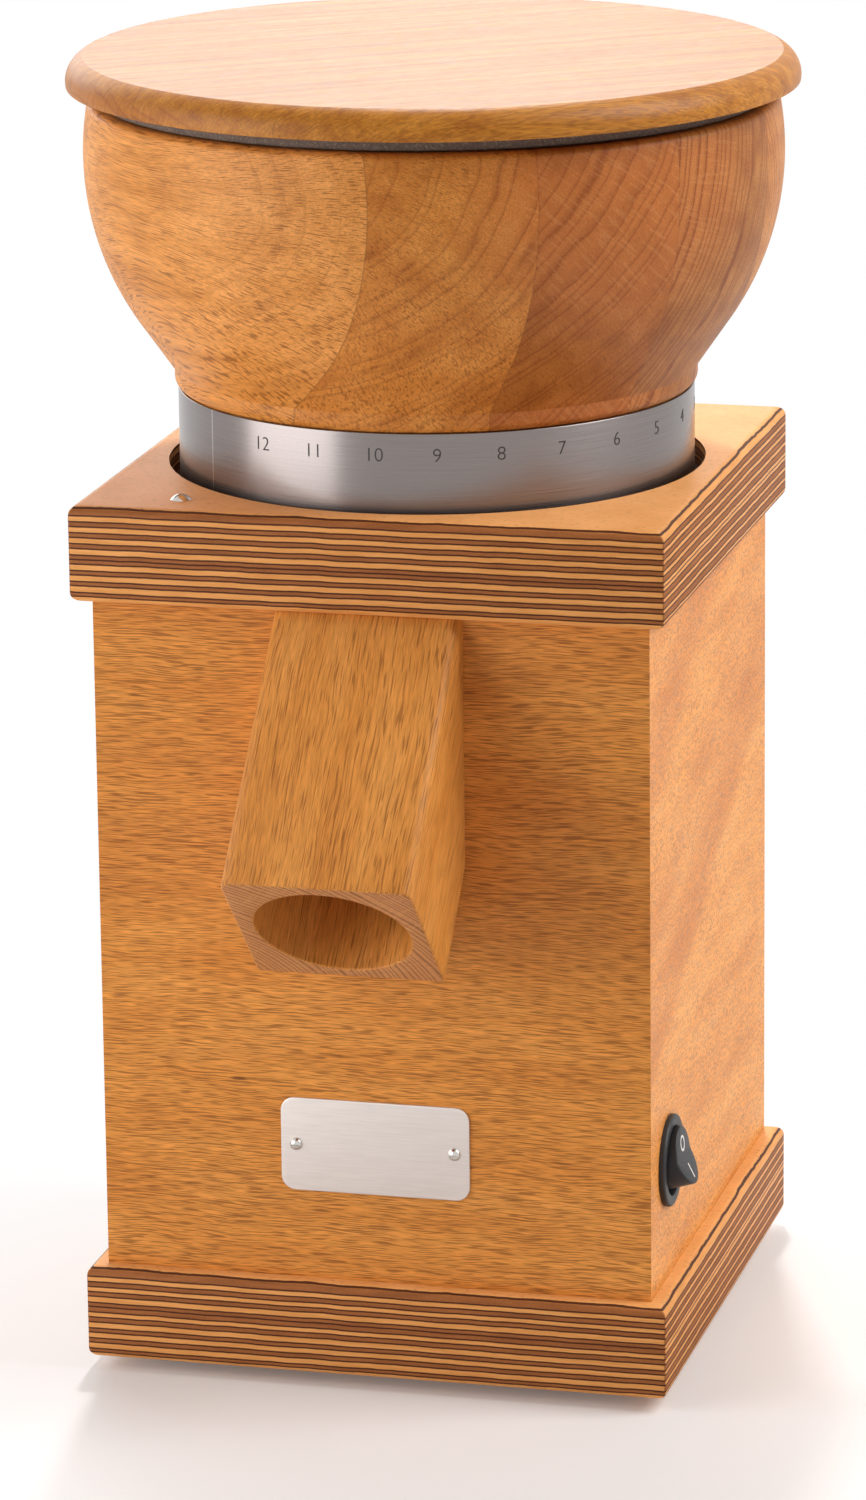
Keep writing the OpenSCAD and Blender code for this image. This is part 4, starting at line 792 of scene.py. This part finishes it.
def makePlate(name, look, finish, node):
    size = Vector(look["size"])
    piece = startPiece(bpy.ops.mesh.primitive_cube_add, name, size=mm, scale=size)
    bakePlace(piece)
    bpy.ops.object.mode_set(mode="EDIT")
    roundEdges(piece, look["edge"], 6, lambda e: meets(abs(middle(e).z), size.z * mm / 2))
    roundEdges(piece, look["corner"], 3, lambda e: all(meets(abs(v.co.x), abs(v.co.y)) for v in e.verts)
               and not meets(e.verts[0].co.z, e.verts[1].co.z))
    piece.location = Vector(look["centre"]) * mm
    bakePlace(piece)
    top = look["centre"][2] + size.z / 2
    for x, y, radius, depth in look["bores"]:
        drill(piece, 160, radius * mm, depth * 2 * mm, (x * mm, y * mm, top * mm))
    finishPiece(piece, "housing", [finish], [node])


makePlate("topPlate", topPlateLook, topPly, "top_plate")
makePlate("basePlate", basePlateLook, basePly, "bottom_plate")
print("plates ready")

# the flour spout, a bored block that leaves the front aslant
spoutLook = {
    "place": (0, -66.506, 209.0), "tilt": 46.4, "width": 58.7, "depth": 57.0, "bore": 23.9,
    "reach": 67.43, "root": 78.7,  # mm from the place to the mouth, and to the far end before the cuts
    "edge": 4.0, "lowEdge": 1.5, "end": 0.7, "top": 247.5,
}


def makeSpout(look):
    width, depth, length = look["width"] * mm, look["depth"] * mm, (look["reach"] + look["root"]) * mm
    centre = (0, 0, (look["reach"] - look["root"]) * mm / 2)
    piece = startPiece(bpy.ops.mesh.primitive_cube_add, "flourSpout", size=1, scale=(width, depth, length),
                       location=centre)
    for side, radius, steps in ((1, look["edge"], 6), (-1, look["lowEdge"], 4)):
        roundEdges(piece, radius, steps, lambda e: abs(e.verts[0].co.z - e.verts[1].co.z) > length / 2
                   and meets(middle(e).y * side, depth / 2))
    bakePlace(piece)
    drill(piece, 128, look["bore"] * mm, length * 1.1, centre)
    bpy.ops.object.mode_set(mode="EDIT")
    roundEdges(piece, look["end"], 3, lambda e: all(meets(v.co.z, look["reach"] * mm) for v in e.verts)
               and any(abs(f.normal.z) < 0.5 for f in e.link_faces))
    piece.rotation_euler = (pi / 2 + radians(look["tilt"]), 0, 0)
    piece.location = Vector(look["place"]) * mm
    bakePlace(piece)
    bpy.ops.object.mode_set(mode="EDIT")
    # the planed faces that meet the housing and the plate above
    for point, way in (((0, look["place"][1] * mm, 0), (0, 1, 0)), ((0, 0, look["top"] * mm), (0, 0, 1))):
        bpy.ops.mesh.select_all(action="SELECT")
        bpy.ops.mesh.bisect(plane_co=point, plane_no=way, use_fill=True, clear_outer=True)
    finishPiece(piece, "housing", [spoutBeech], ["spout"])


makeSpout(spoutLook)
print("spout ready")

# the bare name plate: punched sheet with rolled edges
nameLook = {"centre": (0, -66.906, 77.5), "size": (60.0, 0.8, 30.0), "corner": 4.5, "edge": 0.3}


def makeNamePlate(look):
    size = Vector(look["size"])
    piece = startPiece(bpy.ops.mesh.primitive_cube_add, "namePlate", size=mm, scale=size)
    roundEdges(piece, look["corner"], 10,
               lambda e: abs(e.verts[0].co.y - e.verts[1].co.y) > size.y * mm / 2)
    roundEdges(piece, look["edge"], 3, lambda e: all(meets(v.co.y, -size.y * mm / 2) for v in e.verts))
    piece.location = Vector(look["centre"]) * mm
    finishPiece(piece, "housing", [nameMetal], ["name_plate"])


makeNamePlate(nameLook)

# the switch: a round bezel and barrel with a well, in which the rocker tips
switchLook = {
    "place": (86.85, -41.506, 71.8), "bezel": 14.4, "thick": 2.0, "well": 10.9, "wellDepth": 12.0,
    "barrel": 12.4, "depth": 24.0, "round": 0.8, "lip": 0.4, "lipBend": 0.12,
}


def makeSwitch(look):
    r, well, thick, lip, bend = (look[k] for k in ("round", "well", "thick", "lip", "lipBend"))
    outline = [(0, -look["wellDepth"]), (well, -look["wellDepth"]), (well, thick - lip),
               (well + bend, thick - bend), (well + lip, thick)]
    outline += arc(look["bezel"] - r, thick - r, r, 90, 0, 6)
    outline += [(look["bezel"], 0), (look["barrel"], 0), (look["barrel"], -look["depth"]),
                (0, -look["depth"])]
    piece = turnPiece("switchBody", outline, steps=96)
    piece.rotation_euler = (0, pi / 2, 0)
    piece.location = Vector(look["place"]) * mm
    finishPiece(piece, "housing", [blackPlastic], ["switch_housing"])


makeSwitch(switchLook)

rockerLook = {
    "place": (85.85, -41.506, 71.8), "tilt": 73.0, "radius": 9.2, "back": 3.0, "middle": 6.2, "slope": 10.0,
    "edge": 0.5, "sharpFrom": 1.0,  # mm, and the least angle in radians that gets it
    "cutter": 60.0,  # mm, the block that leaves the two slopes, wider than the rocker
    # letter, its name, place along the rocker and size of the type, mm
    "marks": (("O", "rockerMarkOff", -4.2, 7.0), ("I", "rockerMarkOn", 4.8, 7.0)),
    "thick": 0.05, "spread": 0.05,  # mm
}


def makeRocker(look):
    radius, slope, cutter = look["radius"], radians(look["slope"]), look["cutter"] * mm
    rise = radius * tan(slope)
    height = look["back"] + look["middle"] + rise
    piece = startPiece(bpy.ops.mesh.primitive_cylinder_add, "switchRocker", vertices=96, radius=radius * mm,
                       depth=height * mm, location=(0, 0, (height / 2 - look["back"]) * mm))
    bakePlace(piece)
    groove = startPiece(bpy.ops.mesh.primitive_cube_add, "groove", size=cutter, location=(0, 0, cutter / 2))
    bakePlace(groove)
    bpy.ops.object.mode_set(mode="EDIT")
    for side in (-1, 1):
        bpy.ops.mesh.select_all(action="SELECT")
        bpy.ops.mesh.bisect(plane_co=(0, 0, look["middle"] * mm), use_fill=True, clear_inner=True,
                            plane_no=(side * sin(slope), 0, cos(slope)))
    bpy.ops.object.mode_set(mode="OBJECT")
    cutAway(piece, groove)
    bpy.ops.object.mode_set(mode="EDIT")
    roundEdges(piece, look["edge"], 4, lambda e: len(e.link_faces) == 2
               and e.calc_face_angle() > look["sharpFrom"] and middle(e).z > 0)
    bpy.ops.object.mode_set(mode="OBJECT")
    marks = []
    for letter, name, along, size in look["marks"]:
        mark = makeText(letter, size, look["thick"], look["spread"])
        mark.name = mark.data.name = name
        bpy.ops.object.mode_set(mode="EDIT")
        bpy.ops.mesh.select_all(action="SELECT")
        bpy.ops.transform.rotate(value=pi / 2, orient_axis="Z", center_override=(0, 0, 0))
        mark.rotation_euler = (0, -slope if along > 0 else slope, 0)
        mark.location = (along * mm, 0, (look["middle"] + abs(along) * rise / radius) * mm)
        bakePlace(mark)
        marks.append(mark)
    for made in (piece, *marks):
        made.rotation_euler = (0, radians(look["tilt"]), 0)
        made.location = Vector(look["place"]) * mm
    finishPiece(piece, "rocker", [blackPlastic], ["rocker"])
    for mark in marks:
        finishPiece(mark, "rocker", [marking])


makeRocker(rockerLook)
print("switch ready")

# soft studio lamps, a pale floor and white all round for the eye
lampLook = {
    "rightSoft": {"place": (1.2, 0.1, 1.35), "size": (0.8, 1.2), "power": 25.0, "aim": (0, 0, 0.2)},
    "leftSoft": {"place": (-0.79, -0.62, 0.36), "size": (0.85, 1.1), "power": 9.4, "aim": (0, -0.06, 0.18)},
    "backKey": {"place": (-0.175, 0.86, 1.5), "size": (0.12, 0.12), "power": 11.0, "aim": (0, 0, 0.3)},
    "backSoft": {"place": (-0.86, 1.4, 0.85), "size": (1.6, 0.7), "power": 9.5, "aim": (0, 0, 0.4)},
}


def placeLamp(name, look):
    lamp = bpy.data.objects.new(name, bpy.data.lights.new(name, "AREA"))
    bpy.context.scene.collection.objects.link(lamp)
    lamp.data.shape, lamp.data.energy = "RECTANGLE", look["power"]
    lamp.data.size, lamp.data.size_y = look["size"]
    lamp.location = look["place"]
    lamp.visible_camera = False
    lamp.rotation_euler = (Vector(look["aim"]) - lamp.location).to_track_quat("-Z", "Y").to_euler()


for name, look in lampLook.items():
    placeLamp(name, look)


def seenRays(add):
    # 1 for the rays that show the white background: straight to the eye, off metal or through glass
    path = add("LightPath").outputs
    either = add("Math", {0: path["Is Camera Ray"], 1: path["Is Glossy Ray"]}, operation="MAXIMUM")
    return add("Math", {0: either, 1: path["Is Transmission Ray"]}, operation="MAXIMUM")


worldLook = {"behind": (-0.247, 0.969, 0.0), "bright": "#B8AEA8", "dim": "#7A675E", "from": 0.0, "to": 0.9}


def makeWorld(look):
    # white to the eye and in metal; as light, bright behind the object and dim in front, as in a bay
    # with a white sweep
    world = bpy.data.worlds.new("whiteBay")
    bpy.context.scene.world = world
    add = startTree(world)
    ahead = add("VectorMath", {0: add("TexCoord").outputs["Generated"], 1: look["behind"]},
                operation="DOT_PRODUCT")
    level = add("MapRange", {"Value": ahead, "From Min": look["from"], "From Max": look["to"]}, **soft)
    tone = add("Mix", {0: level, 6: linear(look["dim"]), 7: linear(look["bright"])}, data_type="RGBA")
    room = add("Background", {"Color": tone})
    seen = add("Background", {"Color": grey(1.0)})
    add("OutputWorld", {"Surface": add("MixShader", {0: seenRays(add), 1: room, 2: seen})})


makeWorld(worldLook)

# matt paper that takes the shadow near the object and fades to plain white further out; the grey disc of
# plain paper is centred off the object, to the front right where its shadow falls, so it is painted shadow
# in part
floorLook = {
    "size": 5.0, "paintedShadowCentre": (0.09, -0.08, 0.0), "near": 0.13, "far": 0.4, "nearWhite": 0.1,  # metres
    "tone": 0.82, "rough": 0.5, "shine": 0.2,
}


def makeFloor(look):
    bpy.ops.object.select_all(action="DESELECT")
    bpy.ops.mesh.primitive_plane_add(size=look["size"])
    floor = bpy.context.object
    floor.name = floor.data.name = "studioFloor"
    made, add = newMaterial("whitePaperSweep")
    paper = add("BsdfPrincipled", {"Base Color": grey(look["tone"]), "Roughness": look["rough"],
                                   "Specular IOR Level": look["shine"]})
    white = add("Emission", {"Color": grey(1.0)})
    # the plain paper, grey and with the real shadow on it, keeps to a disc round a point set off the object
    # where its shadow falls: painted shadow in part
    far = add("VectorMath", {0: add("TexCoord").outputs["Object"], 1: look["paintedShadowCentre"]}, operation="DISTANCE")
    fade = add("MapRange", {"Value": far, "From Min": look["near"], "From Max": look["far"],
                            "To Min": look["nearWhite"]}, **soft)
    share = add("Math", {0: fade, 1: seenRays(add)}, operation="MULTIPLY")
    add("OutputMaterial", {"Surface": add("MixShader", {0: share, 1: paper, 2: white})})
    floor.data.materials.append(made)


makeFloor(floorLook)
print("studio ready")
